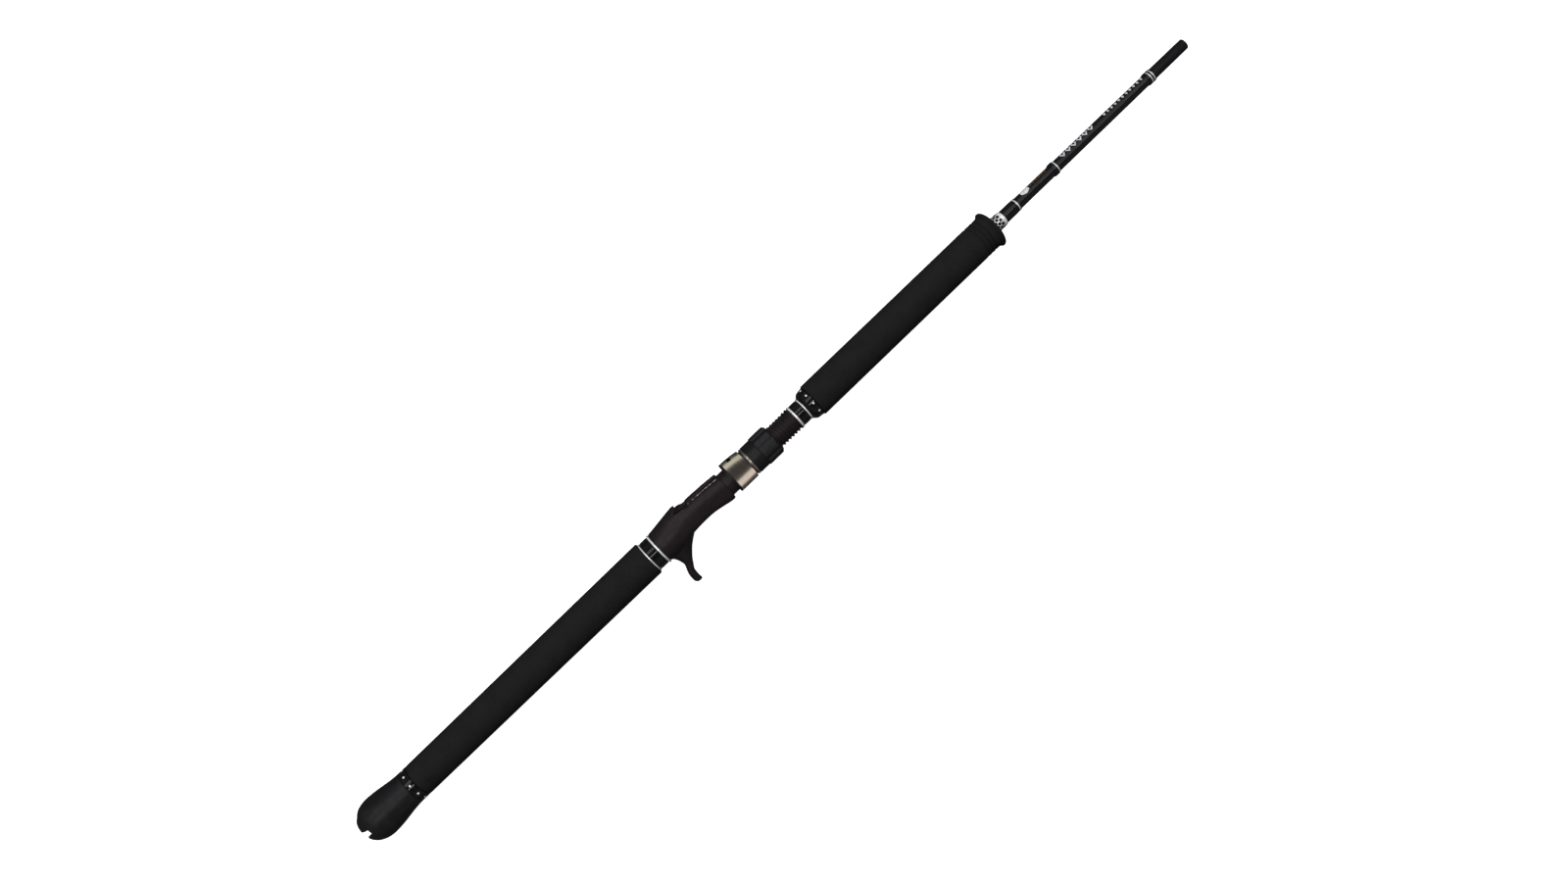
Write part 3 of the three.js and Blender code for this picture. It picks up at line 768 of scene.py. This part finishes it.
class ROD_OT_butt_cap(bpy.types.Operator):
    """Rubber butt cap with the cross slot that a gimbal's pin fits"""

    bl_idname = "rod.butt_cap"
    bl_label = "Butt cap"

    def execute(self, context):
        sizes = context.scene.rod_sizes
        start, end = -8.0, span("gimbal_cap")[1]
        radius, flat, front = rim("gimbal_cap"), 5.0, 14.6
        widest, blind = start + 17.3, 6.0
        dome = quarter(28, (start, flat), (widest, radius), steep=True)
        waist = arc(30, lambda t: (
            widest + (end - widest) * t,
            front + (radius - front) * (1 + math.cos(math.pi * t)) / 2,
        ))[1:]
        cap = turned("butt_cap", [(start, 0), *dome, *waist, (end, 0)], 128)
        half, reach = mm(sizes.slot_width) / 2, radius + 2
        cut(
            cap,
            rod("blind_bore", blind, end + 1, blank_radius(blind) + GLUE),
            cube("slot_a", start - 2, 0, -half, half, -reach, reach),
            cube("slot_b", start - 2, 0, -reach, reach, -half, half),
        )
        rounded(cap, mm(sizes.cap_edge), 3, 30)
        completed(rolled(cap), "rubber", "rubber_cap", replaces=["gimbal_cap"])
        return {"FINISHED"}


class ROD_OT_grips(bpy.types.Operator):
    """Rear grip, and fore grip with three grooves and a flared end"""

    bl_idname = "rod.grips"
    bl_label = "Foam grips"

    def execute(self, context):
        sizes = context.scene.rod_sizes
        self.rear(mm(sizes.foam_edge))
        self.fore(mm(sizes.foam_edge), mm(sizes.groove_depth))
        return {"FINISHED"}

    def rear(self, edge):
        """A slight taper between two rounded ends."""
        start, end = span("rear_grip")
        butt, front = 14.65, rim("rear_grip")
        outer = quarter(5, (start, butt - edge), (start + edge, butt), steep=True)
        outer += [
            (start + edge + (end - start - 2 * edge) * i / 12, butt + (front - butt) * i / 12)
            for i in range(1, 12)
        ]
        outer += quarter(5, (end - edge, front), (end, front - edge), steep=False)
        grip = sleeve("rear_grip_foam", outer, slid_on(start, end))
        completed(grip, "foam", "foam", replaces=["rear_grip"])

    def fore(self, edge, depth):
        """Straight, then three grooves, then a flare with a rounded rim."""
        start, end = span("fore_grip")
        radius, flare, last = 15.3, rim("fore_grip"), 14.5
        half = 1.0  # of a groove's width
        outer = quarter(5, (start, radius - edge), (start + edge, radius), steep=True)
        outer += [(start + 40, radius), (start + 90, radius), (start + 140, radius)]
        for offset in (18.7, 14.3, 10.2):
            middle = end - offset
            outer += arc(10, lambda t: (
                middle + half * (2 * t - 1),
                radius - depth * math.cos((2 * t - 1) * math.pi / 2) ** 0.8,
            ))
        widest, flare_start = end - 2.5, end - 6.2
        outer += arc(10, lambda t: (
            flare_start + (widest - flare_start) * t,
            radius + (flare - radius) * (1 - math.cos(t * math.pi / 2)),
        ))
        outer += quarter(10, (widest, flare), (end, last), steep=False)[1:]
        grip = sleeve("fore_grip_foam", outer, slid_on(start, end))
        rounded(grip, 0.25, 2, 40)
        completed(grip, "foam", "foam", replaces=["fore_grip"], angle=40)


# ---------------------------------------------------------------- rings and collars


def ring(node, finish, slot, edge, bulge, body="root", steps=AROUND):
    """A plain ring over a CAD ring, with rounded edges and a slight crown."""
    start, end = span(node)
    radius = rim(node)
    outer = arc(8, lambda t: (start + (end - start) * t, radius - bulge * (2 * t - 1) ** 2))
    piece = sleeve(node + "_finished", outer, min(radii(node)), steps)
    rounded(piece, edge, 3, 50)
    if finish == "bright":
        aimed("ring_light", piece, "INCLUDE")
    completed(piece, finish, slot, body, [node])


class ROD_OT_rings(bpy.types.Operator):
    """Bright rings at the ends of the collars and of the reel seat"""

    bl_idname = "rod.rings"
    bl_label = "Bright rings"

    def execute(self, context):
        edge = mm(context.scene.rod_sizes.ring_edge)
        for node in ("rear_edge_ring", "seat_edge_ring", "front_edge_ring", "fore_edge_ring"):
            wide = node in ("seat_edge_ring", "front_edge_ring")
            ring(node, "bright", "bright_ring", edge * (1.7 if wide else 1), bulge=0.1)
        return {"FINISHED"}


class ROD_OT_collars(bpy.types.Operator):
    """Gloss collars behind and in front of the reel seat"""

    bl_idname = "rod.collars"
    bl_label = "Gloss collars"

    def execute(self, context):
        edge = mm(context.scene.rod_sizes.collar_edge)
        for node in ("rear_collar", "front_collar"):
            ring(node, "gloss", "gloss_collar", edge, bulge=0.12, steps=128)
        return {"FINISHED"}


class ROD_OT_trim_rings(bpy.types.Operator):
    """Dotted trim rings at the rear grip's butt end and the fore grip's rear end"""

    bl_idname = "rod.trim_rings"
    bl_label = "Trim rings"

    def execute(self, context):
        self.sizes = context.scene.rod_sizes
        start, end = span("butt_trim_ring")
        radius = rim("butt_trim_ring")
        middle = (start + end) / 2
        outer = [(start, radius), (middle, radius), (end, radius)]
        self.dotted("butt_trim", outer, middle, radius, first_dot=31)

        start, end = span("fore_trim_ring")
        small, flare, large = 10.65, 13.7, 14.3
        bend = start + 4.5
        outer = arc(8, lambda t: (
            start + (bend - start) * t, small + (flare - small) * math.sin(t * math.pi / 2) ** 0.9
        ))
        outer += [(end - 1.5, large - 0.2), (end, large)]
        middle = end - 2.2
        radius = flare + (large - flare) * (middle - bend) / (end - bend)
        self.dotted("fore_trim", outer, middle, radius, first_dot=6)
        return {"FINISHED"}

    def dotted(self, name, outer, middle, radius, first_dot):
        """A ring of this outline, inlaid with domed dots."""
        node, size, depth = name + "_ring", mm(self.sizes.dot_radius), 0.5
        count, first = self.sizes.dot_count, math.radians(first_dot)
        piece = sleeve(node, outer, slid_on(outer[0][0], outer[-1][0]), 120)
        rounded(piece, 0.45, 3, 50)
        hole = peg("holes", middle, radius, size + 0.12, -depth, 1.0)
        cut(piece, copies_round(hole, count, first))
        completed(rolled(piece), "trim", "trim_black", replaces=[node])
        dot = peg(name + "_dots", middle, radius, size, -depth, mm(self.sizes.dot_rise))
        rounded(dot, 0.3, 3, 40)
        completed(rolled(copies_round(dot, count, first)), "pearl", "bright_ring")


# ---------------------------------------------------------------- reel seat


def thread_body(name, start, end, gap, sizes):
    """A right-hand thread about x, square at both ends, in step with the CAD thread."""
    pitch, depth, steps = mm(sizes.thread_pitch), mm(sizes.thread_depth), 72
    seat_start = span("reel_seat_body")[0]
    crest, grow = 10.8 + gap, gap / pitch
    root = crest - depth
    first = seat_start + pitch * (math.floor((start - seat_start) / pitch) - 2 + 0.25)
    profile = [
        (0.10 - grow, root), (0.28 - grow, crest - 0.1), (0.32 - grow, crest),
        (0.53 + grow, crest), (0.57 + grow, crest - 0.1), (0.75 + grow, root),
        (1.10 - grow, root),
    ]
    piece = drawn(name, [(first + pitch * share, radius) for share, radius in profile])
    alone(piece)
    turns = math.ceil((end - start) / pitch) + 4
    modified(
        piece, "SCREW", axis="X", angle=2 * math.pi, screw_offset=pitch * MM,
        iterations=turns, steps=steps, render_steps=steps, use_merge_vertices=True,
        merge_threshold=1e-6,
    )
    editing(piece)
    for place, side in ((start, -1), (end, 1)):
        bpy.ops.mesh.select_all(action="SELECT")
        bpy.ops.mesh.bisect(
            plane_co=(place * MM, 0, 0), plane_no=(side, 0, 0), clear_outer=True
        )
    bpy.ops.mesh.select_all(action="SELECT")
    bpy.ops.mesh.remove_doubles(threshold=2e-6)
    bpy.ops.mesh.fill_holes(sides=0)
    return tidied(piece)


class ROD_OT_reel_seat(bpy.types.Operator):
    """Trigger reel seat: saddle, fixed hood, platform, trigger, barrel and thread"""

    bl_idname = "rod.reel_seat"
    bl_label = "Reel seat"

    rear_radius = 14.15
    saddle_length = 73.4
    platform_height = 9.3
    platform_half_width = 6.6
    rail_height = 10.3
    mouth_offset = 30.0
    mouth_run = 9.0
    hump_height = 18.1
    bore_radius = 7.3
    barrel_radius = 11.0
    barrel_length = 17.6
    flat_height = 8.8
    foot_depth = 14.0
    blending_grain = 0.7
    final_grain = 0.48

    def execute(self, context):
        self.sizes = context.scene.rod_sizes
        self.start, self.end = span("reel_seat_body")
        self.step = self.start + self.saddle_length
        body = added(self.saddle(), cut(self.fixed_hood(), self.wedge()), self.trigger())
        self.blended(body)
        bore = rod("bore", self.start - 1, self.step + 1, self.bore_radius)
        platform = cube(
            "platform", self.start + self.mouth_offset, self.step + 0.5,
            -self.platform_half_width, self.platform_half_width,
            self.platform_height, self.platform_height + 5.5,
        )
        cut(body, self.pocket(), platform, bore)
        modified(body, "REMESH", mode="VOXEL", voxel_size=self.final_grain * MM, adaptivity=0.0)
        modified(body, "SMOOTH", factor=0.5, iterations=3)
        completed(rolled(body), "seat", "seat_plastic", replaces=["reel_seat_body"], angle=60)
        self.barrel()
        # Bead carrying the rail edge's painted highlight, partly rubbed wear.
        self.highlight_and_wear_edge()
        for i in (1, 2, 3):
            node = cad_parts[f"seat_arbor_{i}"]
            node.data.materials.clear()
            node.data.materials.append(finish_of("arbor"))
        return {"FINISHED"}

    def saddle_rows(self, steps):
        """Share of the saddle's length, half width, top, bottom and squareness."""
        rail = self.rail_height
        return curve_through([
            (0.0, self.rear_radius, self.rear_radius, self.rear_radius, 1.0),
            (0.17, 13.8, 13.2, 13.7, 0.95),
            (0.36, 12.3, rail + 3.5, 10.4, 0.8),
            (0.5, 11.6, rail + 3.6, 9.2, 0.7),
            (0.69, 11.5, rail + 3.2, 9.2, 0.68),
            (0.83, 12.0, rail + 2.6, 11.0, 0.7),
            (0.94, 12.4, rail + 1.9, 12.9, 0.72),
            (1.0, 12.4, rail + 1.5, 13.2, 0.74),
        ], steps)

    def saddle(self):
        """Body of the seat, rails included."""
        return lofted("seat_saddle", [
            cross_section(self.start + share * self.saddle_length, *rest)
            for share, *rest in self.saddle_rows(60)
        ])

    def highlight_and_wear_edge(self):
        """Painted highlight on the platform rail's inner edge, partly rubbed wear: a thin light bead
        along the saddle's surface.
        """
        first, last = self.start + self.mouth_offset + self.mouth_run + 1, self.step - 2
        side, bead, sunk = self.platform_half_width + 0.12, 0.26, 0.05
        sections = []
        for share, half, top, _, squareness in self.saddle_rows(120):
            x = self.start + share * self.saddle_length
            if first < x < last:
                height = top * (1 - (side / half) ** (2 / squareness)) ** (squareness / 2) - sunk
                sections.append([
                    (x, bead * math.cos(a) - side, bead * math.sin(a) + height)
                    for a in arc(7, lambda t: 7 * t * math.pi / 4)
                ])
        edge = rolled(lofted("seat_worn_edge", sections))
        completed(edge, "highlight_and_wear", "seat_plastic", angle=60)

    def fixed_hood(self):
        """A swelling over the rear of the platform."""
        run, rear = self.mouth_offset, self.rear_radius
        rows = curve_through([
            (0.0, rear, rear, 6, 1.0),
            (0.3, 13.8, rear + 1.2, 6, 1.0),
            (0.65, 13.0, rear + 2.8, 6, 1.0),
            (1.0, 12.1, self.hump_height, 6, 0.95),
            (1.0 + self.mouth_run / run, 11.6, self.hump_height - 1, 6, 0.92),
        ], 36)
        return lofted("fixed_hood", [
            cross_section(self.start + share * run, *rest) for share, *rest in rows
        ])

    def wedge(self):
        """What is cut away in front of the fixed hood's slanted mouth."""
        mouth = self.start + self.mouth_offset
        front, rail, hump = mouth + self.mouth_run, self.rail_height, self.hump_height
        slope = self.mouth_run / (hump - rail)
        high, far, wide = hump + 4, front + 2 * self.mouth_run, 2 * self.rear_radius
        corners = [(mouth - slope * 4, high), (front, rail), (far, rail), (far, high)]
        return lofted("wedge", [
            [(x, side, z) for x, z in corners] for side in (-wide, wide)
        ])

    def pocket(self):
        """Space for the reel's foot under the fixed hood."""
        mouth = self.start + self.mouth_offset
        sections = []
        for x, height, half in (
            (mouth - self.foot_depth, 5.6, 6.0), (mouth, 7.5, 7.9), (mouth + 11, 7.5, 7.9)
        ):
            spring = self.platform_height + height / 2
            roof = arc(16, lambda t: (
                x, half * math.cos(t * math.pi),
                spring + height / 2 * math.sin(t * math.pi) ** 0.6,
            ))
            sections.append([
                (x, half, self.platform_height), *roof, (x, -half, self.platform_height)
            ])
        return lofted("pocket", sections)

    def trigger(self):
        """Finger hook, in sections from the seat down: depth, rear, front and half width."""
        rows = curve_through([
            (5.0, 1.6, 35.0, 9.0), (9.5, 0.9, 30.9, 9.2), (14.4, 1.3, 24.5, 8.0),
            (18.0, 3.1, 20.3, 6.6), (22.0, 4.3, 16.6, 5.6), (25.4, 4.8, 13.8, 4.9),
            (29.6, 3.3, 11.1, 4.4), (34.0, 1.7, 8.5, 3.8), (39.0, 1.1, 7.9, 3.4),
            (42.0, 1.2, 7.9, 3.1), (44.2, 2.5, 8.1, 2.1), (45.0, 4.3, 7.9, 1.0),
        ], 64)
        sections = []
        for depth, rear, front, half in rows:
            middle, reach = self.start + (rear + front) / 2, (front - rear) / 2
            sections.append(arc(64, lambda t: (
                middle + reach * math.cos(2 * math.pi * t), half * math.sin(2 * math.pi * t),
                -depth,
            ))[:-1])
        return lofted("trigger", sections)

    def blended(self, body):
        """Runs the trigger and the fixed hood into the saddle in soft fillets."""
        modified(body, "REMESH", mode="VOXEL", voxel_size=self.blending_grain * MM, adaptivity=0.0)
        group = body.vertex_groups.new(name="fillet")
        for vert in body.data.vertices:
            x, z = mm(vert.co.x) - self.start, mm(vert.co.z)
            inside = min(1.0, max(0.0, (x - 1.5) / 4))
            low = max(0.0, 1 - abs(z + 13) / 9)
            high = 0.5 * max(0.0, 1 - abs(z - 6) / 8) * (x < self.mouth_offset + 12)
            group.add([vert.index], inside * max(low, high), "REPLACE")
        modified(body, "SMOOTH", factor=0.6, iterations=26, vertex_group="fillet")

    def barrel(self):
        """Plain barrel and thread, with the flat that keeps the hood from turning."""
        thread_start = self.step + self.barrel_length
        plain = rod("seat_barrel", self.step - 0.6, thread_start + 0.4, self.barrel_radius, steps=144)
        body = added(plain, thread_body("thread", thread_start, self.end, 0.0, self.sizes))
        reach = self.barrel_radius + 1
        flat = cube("flat", self.step, self.end - 5, -reach, reach, self.flat_height, reach)
        cut(body, flat, rod("bore", self.step - 2, self.end + 1, self.bore_radius))
        completed(rolled(body), "seat", "seat_plastic", angle=30)


# ---------------------------------------------------------------- sliding hood


class ROD_OT_hood(bpy.types.Operator):
    """Sliding hood: brushed shell with its window, over a black lining with a lip"""

    bl_idname = "rod.hood"
    bl_label = "Sliding hood"

    round_radius = 13.6
    crown_height = 15.4
    gap = 0.3
    barrel_clearance = 11.35
    pocket_depth = 11.0
    pocket_half_width = 6.4
    neck_clearance = 12.2
    key_height = 9.15
    window_place = 7.0
    window_half = 5.2
    shell_end_wall = 0.8

    def execute(self, context):
        sizes = context.scene.rod_sizes
        lip_start, liner_end = span("hood_liner")
        start, end = span("hood_shell")
        self.lip_start, self.shell_end = lip_start, end
        wall, half = mm(sizes.shell_wall), mm(sizes.window) / 2
        middle = start + self.window_place
        shell = self.form("shell", start, end, 0.0)
        cut(
            shell,
            self.form("hollow", start - 1, end - self.shell_end_wall, wall),
            rod("neck", end - 2, end + 1, self.neck_clearance),
            cube("window", middle - half, middle + half, -self.window_half, self.window_half, 5, 20),
        )
        rounded(shell, 0.22, 3, 40)
        shell.name = "hood_steel_shell"
        for name in ("key_light", "line_light"):
            aimed(name, shell, "EXCLUDE")
        for name in ("steel_light_left", "steel_light_right"):
            aimed(name, shell, "INCLUDE")
        completed(rolled(shell), "steel", "hood_steel", "hood", ["hood_shell"])

        lip_end = start - self.gap
        liner = added(
            self.form("liner", lip_start, lip_end, 0.0),
            self.form("lining", lip_end - 0.5, liner_end, wall + self.gap),
        )
        pocket_end = start + self.pocket_depth
        bore = cut(
            rod("bore", lip_start - 1, liner_end + 1, self.barrel_clearance),
            cube("key", pocket_end, liner_end + 2, -20, 20, self.key_height, 20),
        )
        pocket = combined(
            self.form("pocket", lip_start - 1, pocket_end, wall),
            cube("width", lip_start - 2, pocket_end + 1, -self.pocket_half_width,
                 self.pocket_half_width, 0, 20),
            "INTERSECT",
        )
        cut(liner, bore, pocket)
        rounded(liner, 0.25, 2, 40)
        liner.name = "hood_lining"
        completed(rolled(liner), "nut", "nut_plastic", "hood", ["hood_liner"])
        return {"FINISHED"}

    def form(self, name, start, end, inset):
        """The hood's outer form, shrunk by an inset: proud on the reel side at its mouth."""
        rise, radius = self.crown_height - self.round_radius, self.round_radius - inset

        def section(t):
            x = start + (end - start) * t
            share = min(1, max(0, (x - self.lip_start) / (self.shell_end - self.lip_start)))
            crown = self.crown_height - inset - rise * share**2
            return cross_section(x, radius, crown, radius, count=128)

        return lofted(name, arc(16, section))


class ROD_OT_lock_nut(bpy.types.Operator):
    """Lock nut with its lobed grip, inner thread and bright ring"""

    bl_idname = "rod.lock_nut"
    bl_label = "Lock nut"

    def execute(self, context):
        sizes = context.scene.rod_sizes
        flange, end = span("lock_nut")
        start = span("nut_ring")[1] + 0.3
        collar, lobe, neck, bore = 13.2, rim("lock_nut"), 11.85, 11.15
        flange_radius, flange_end = 12.45, flange + 2.4
        lobe_start, shoulder = start + 9.6, 1.8
        nut = turned("lock_nut_body", [
            (flange, 0), (flange, flange_radius), (flange_end, flange_radius),
            (flange_end, neck), (start, neck),
            *quarter(4, (start, collar - 0.5), (start + 0.6, collar), steep=True),
            (lobe_start - 0.5, collar - 0.05), (lobe_start + 0.15, collar + 0.25),
            (lobe_start + 0.7, lobe),
            (end - shoulder, lobe),
            *arc(6, lambda t: (
                end - shoulder * math.cos(t * math.pi / 2),
                lobe - shoulder * (1 - math.cos(t * math.pi / 2)) - 0.2 * t,
            ))[1:],
            (end, 0),
        ], 144)
        depth, flute, count = 1.0, 4.0, 8
        cutter = rod("flutes", lobe_start + 1, end + 1, flute, lobe + flute - depth, 48)
        flutes = copies_round(cutter, count, math.pi / count + math.pi / 2)
        cut(
            nut, flutes, rod("throat", flange - 1, start, bore),
            thread_body("inner_thread", start - 0.5, end + 1, 0.35, sizes),
        )
        rounded(nut, 0.22, 2, 42)
        completed(rolled(nut), "nut", "nut_plastic", "nut", ["lock_nut"])
        ring("nut_ring", "steel", "bright_ring", mm(sizes.ring_edge), bulge=0.05, body="nut")
        return {"FINISHED"}


# ---------------------------------------------------------------- windings and blank


class ROD_OT_windings(bpy.types.Operator):
    """Thread windings with their silver bands, and the dotted winding check"""

    bl_idname = "rod.windings"
    bl_label = "Windings"

    def execute(self, context):
        self.sizes = context.scene.rod_sizes
        self.winding_check()
        for node in ("butt_wrap", "butt_wrap_band", "mid_wrap", "tip_wrap"):
            completed(self.wound(node), "winding", "winding", replaces=[node], angle=50)
        bands = [self.line()]
        for node in ("mid_wrap_band", "tip_wrap_band_rear", "tip_wrap_band_front"):
            band = self.wound(node)
            bands.append(
                completed(band, "silver", "silver_winding", replaces=[node], angle=50)
            )
        for band in bands:
            aimed("ring_light", band, "INCLUDE")
        return {"FINISHED"}

    def line(self):
        """A few silver turns in the middle of the butt winding's front band."""
        start, end = span("butt_wrap_band")
        middle, half = (start + end) / 2, 0.65
        top = rim("butt_wrap_band") + 0.06
        line = sleeve("butt_wrap_line", [(middle - half, top), (middle + half, top)], top - 0.36)
        return completed(rounded(line, 0.05, 2, 40), "silver", "silver_winding")

    def wound(self, node):
        """Turns of thread side by side, recessed where the CAD winding is."""
        start, end = span(node)
        lowest = {}
        for vert, radius in zip(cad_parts[node].data.vertices, radii(node)):
            x = round(mm(vert.co.x), 3)
            lowest[x] = min(radius, lowest.get(x, radius))
        turn, ridge = mm(self.sizes.winding_turn), mm(self.sizes.winding_ridge)
        drop, taper = 0.3, 0.7  # of a soft end
        outer = []

        def run(x0, x1, radius, from_end, to_end):
            count = max(2, round((x1 - x0) / turn))
            for i in range(count):
                for share in (0.0, 0.25, 0.5, 0.75):
                    x = x0 + (x1 - x0) * (i + share) / count
                    level = radius - ridge * (1 - math.sin(share * math.pi))
                    if from_end:
                        level -= drop * max(0, 1 - (x - x0) / taper) ** 2
                    if to_end:
                        level -= drop * max(0, 1 - (x1 - x) / taper) ** 2
                    outer.append((x, level))
            outer.append((x1, radius - ridge - (drop if to_end else 0)))

        recesses = sorted(lowest)[1:-1]  # where bands lie in a winding
        stops = [start, *recesses, end]
        levels = [rim(node), min((lowest[x] for x in recesses), default=0)]
        soft, last = "band" not in node, len(stops) - 2
        for k, (x0, x1) in enumerate(zip(stops, stops[1:])):
            run(x0, x1, levels[k % 2], soft and k == 0, soft and k == last)
        return sleeve(
            node + "_thread", outer, min(*lowest.values(), blank_radius(end) + 0.1)
        )

    def winding_check(self):
        """Bright ring ahead of the grip, inlaid with three staggered rows of black dots."""
        start, end = span("winding_check")
        radius, count, size, depth = rim("winding_check"), 11, 1.48, 0.3
        outer = [
            (start, radius), (end - 2.6, radius), (end - 2.4, radius - 0.25),
            (end - 2.0, radius - 0.25), (end - 1.8, radius), (end - 0.6, radius - 0.05),
            (end, radius - 0.45),
        ]
        body = sleeve("winding_check_ring", outer, slid_on(start, end))
        rounded(body, 0.1, 2, 40)
        rows, holes = [], []
        for i, place in enumerate((start + 2.1, start + 4.8, start + 7.5)):
            first = i * math.pi / count
            hole = peg("holes", place, radius, size + 0.08, -depth, depth, 20)
            holes.append(copies_round(hole, count, first))
            dot = rounded(peg("check_dots", place, radius, size, -depth, 0.02, 20), 0.1, 2, 40)
            rows.append(copies_round(dot, count, first))
        cut(body, *holes)
        aimed("ring_light", body, "INCLUDE")
        completed(body, "bright", "bright_ring", replaces=["winding_check"])
        completed(joined("winding_check_dots", rows), "trim", "trim_black")


class ROD_OT_blank(bpy.types.Operator):
    """Gloss blank, its matt tip and the foil marks on it"""

    bl_idname = "rod.blank"
    bl_label = "Blank"

    def execute(self, context):
        self.sizes = context.scene.rod_sizes
        start, end = span("blank")[0], span("blank_tip")[1]
        join = (span("blank_front")[1] + span("blank_tip")[0]) / 2
        gloss = sleeve(
            "blank_gloss", [(start, blank_radius(start)), (join, blank_radius(join))], BLANK_BORE
        )
        completed(gloss, "blank", "blank", replaces=["blank", "blank_front"])
        matt = sleeve(
            "blank_matt", [(join + 0.02, blank_radius(join)), (end, blank_radius(end))], BLANK_BORE
        )
        rounded(matt, 0.12, 2, 50)
        completed(matt, "matt", "matt_blank", replaces=["blank_tip"])
        self.foil()
        return {"FINISHED"}

    def foil(self):
        """Panel, then rows of lozenges: first mark, pitch, length, width, place and lift."""
        ahead, after_mid = span("butt_wrap_band")[1], span("mid_wrap")[1]
        panel = self.mark("foil_panel", ahead + 10.9, 10.2, 7.6, 42, corners=6)
        completed(panel, "foil_light", "blank")
        for name, finish, count, first, pitch, *shape in (
            ("foil_chain", "foil_warm", 6, ahead + 18.0, 3.4, 4.2, 4.6, 32),
            ("foil_lozenges", "foil_light", 6, after_mid + 10.4, 6.6, 5.8, 6.2, 42),
            ("foil_lozenge_hearts", "gloss", 6, after_mid + 10.4, 6.6, 2.9, 3.0, 42, 0.04),
            ("foil_dashes", "foil_light", 11, after_mid + 60.5, 4.4, 2.6, 3.4, 43),
        ):
            marks = [self.mark(name, first + pitch * i, *shape) for i in range(count)]
            completed(joined(name, marks), finish, "blank")

    def mark(self, name, x, length, width, place, lift=0.0, corners=4):
        """A flat mark of foil bent round the blank, at a place in degrees above the floor."""
        alone()
        bpy.ops.mesh.primitive_circle_add(vertices=corners, radius=0.5, fill_type="TRIFAN")
        piece = named(name)
        editing(piece)
        bpy.ops.mesh.subdivide(number_cuts=5)
        bpy.ops.object.mode_set(mode="OBJECT")
        radius = blank_radius(x) + mm(self.sizes.foil_lift) + lift
        for vert in piece.data.vertices:
            angle = math.radians(place) + vert.co.y * width / radius
            vert.co = Vector((
                x + vert.co.x * length, radius * math.cos(angle), radius * math.sin(angle)
            )) * MM
        tidied(piece)
        modified(piece, "SOLIDIFY", thickness=0.09 * MM, offset=-1)
        return tidied(piece)


# ---------------------------------------------------------------- add-on


class ROD_PT_panel(bpy.types.Panel):
    """Builds the rod's pieces in order"""

    bl_idname = "ROD_PT_panel"
    bl_label = "Boat rod handle"
    bl_space_type = "VIEW_3D"
    bl_region_type = "UI"
    bl_category = "Rod"

    def draw(self, context):
        for operator in OPERATORS:
            self.layout.operator(operator.bl_idname)
        for group in (context.scene.rod_sizes, context.scene.rod_colours):
            box = self.layout.box()
            for key in group.bl_rna.properties.keys():
                if key not in ("rna_type", "name"):
                    box.prop(group, key)


OPERATORS = (
    ROD_OT_stage, ROD_OT_butt_cap, ROD_OT_grips, ROD_OT_rings, ROD_OT_collars,
    ROD_OT_trim_rings, ROD_OT_reel_seat, ROD_OT_hood, ROD_OT_lock_nut, ROD_OT_windings,
    ROD_OT_blank,
)
CLASSES = (RodSizes, RodColours, *OPERATORS, ROD_PT_panel)


def register():
    for each in CLASSES:
        bpy.utils.register_class(each)
    bpy.types.Scene.rod_sizes = PointerProperty(type=RodSizes)
    bpy.types.Scene.rod_colours = PointerProperty(type=RodColours)


def unregister():
    del bpy.types.Scene.rod_colours
    del bpy.types.Scene.rod_sizes
    for each in reversed(CLASSES):
        bpy.utils.unregister_class(each)


def main():
    register()
    bpy.ops.rod.stage()
    bpy.ops.rod.butt_cap()
    bpy.ops.rod.grips()
    bpy.ops.rod.rings()
    bpy.ops.rod.collars()
    bpy.ops.rod.trim_rings()
    bpy.ops.rod.reel_seat()
    bpy.ops.rod.hood()
    bpy.ops.rod.lock_nut()
    bpy.ops.rod.windings()
    bpy.ops.rod.blank()


if __name__ == "__main__":
    main()
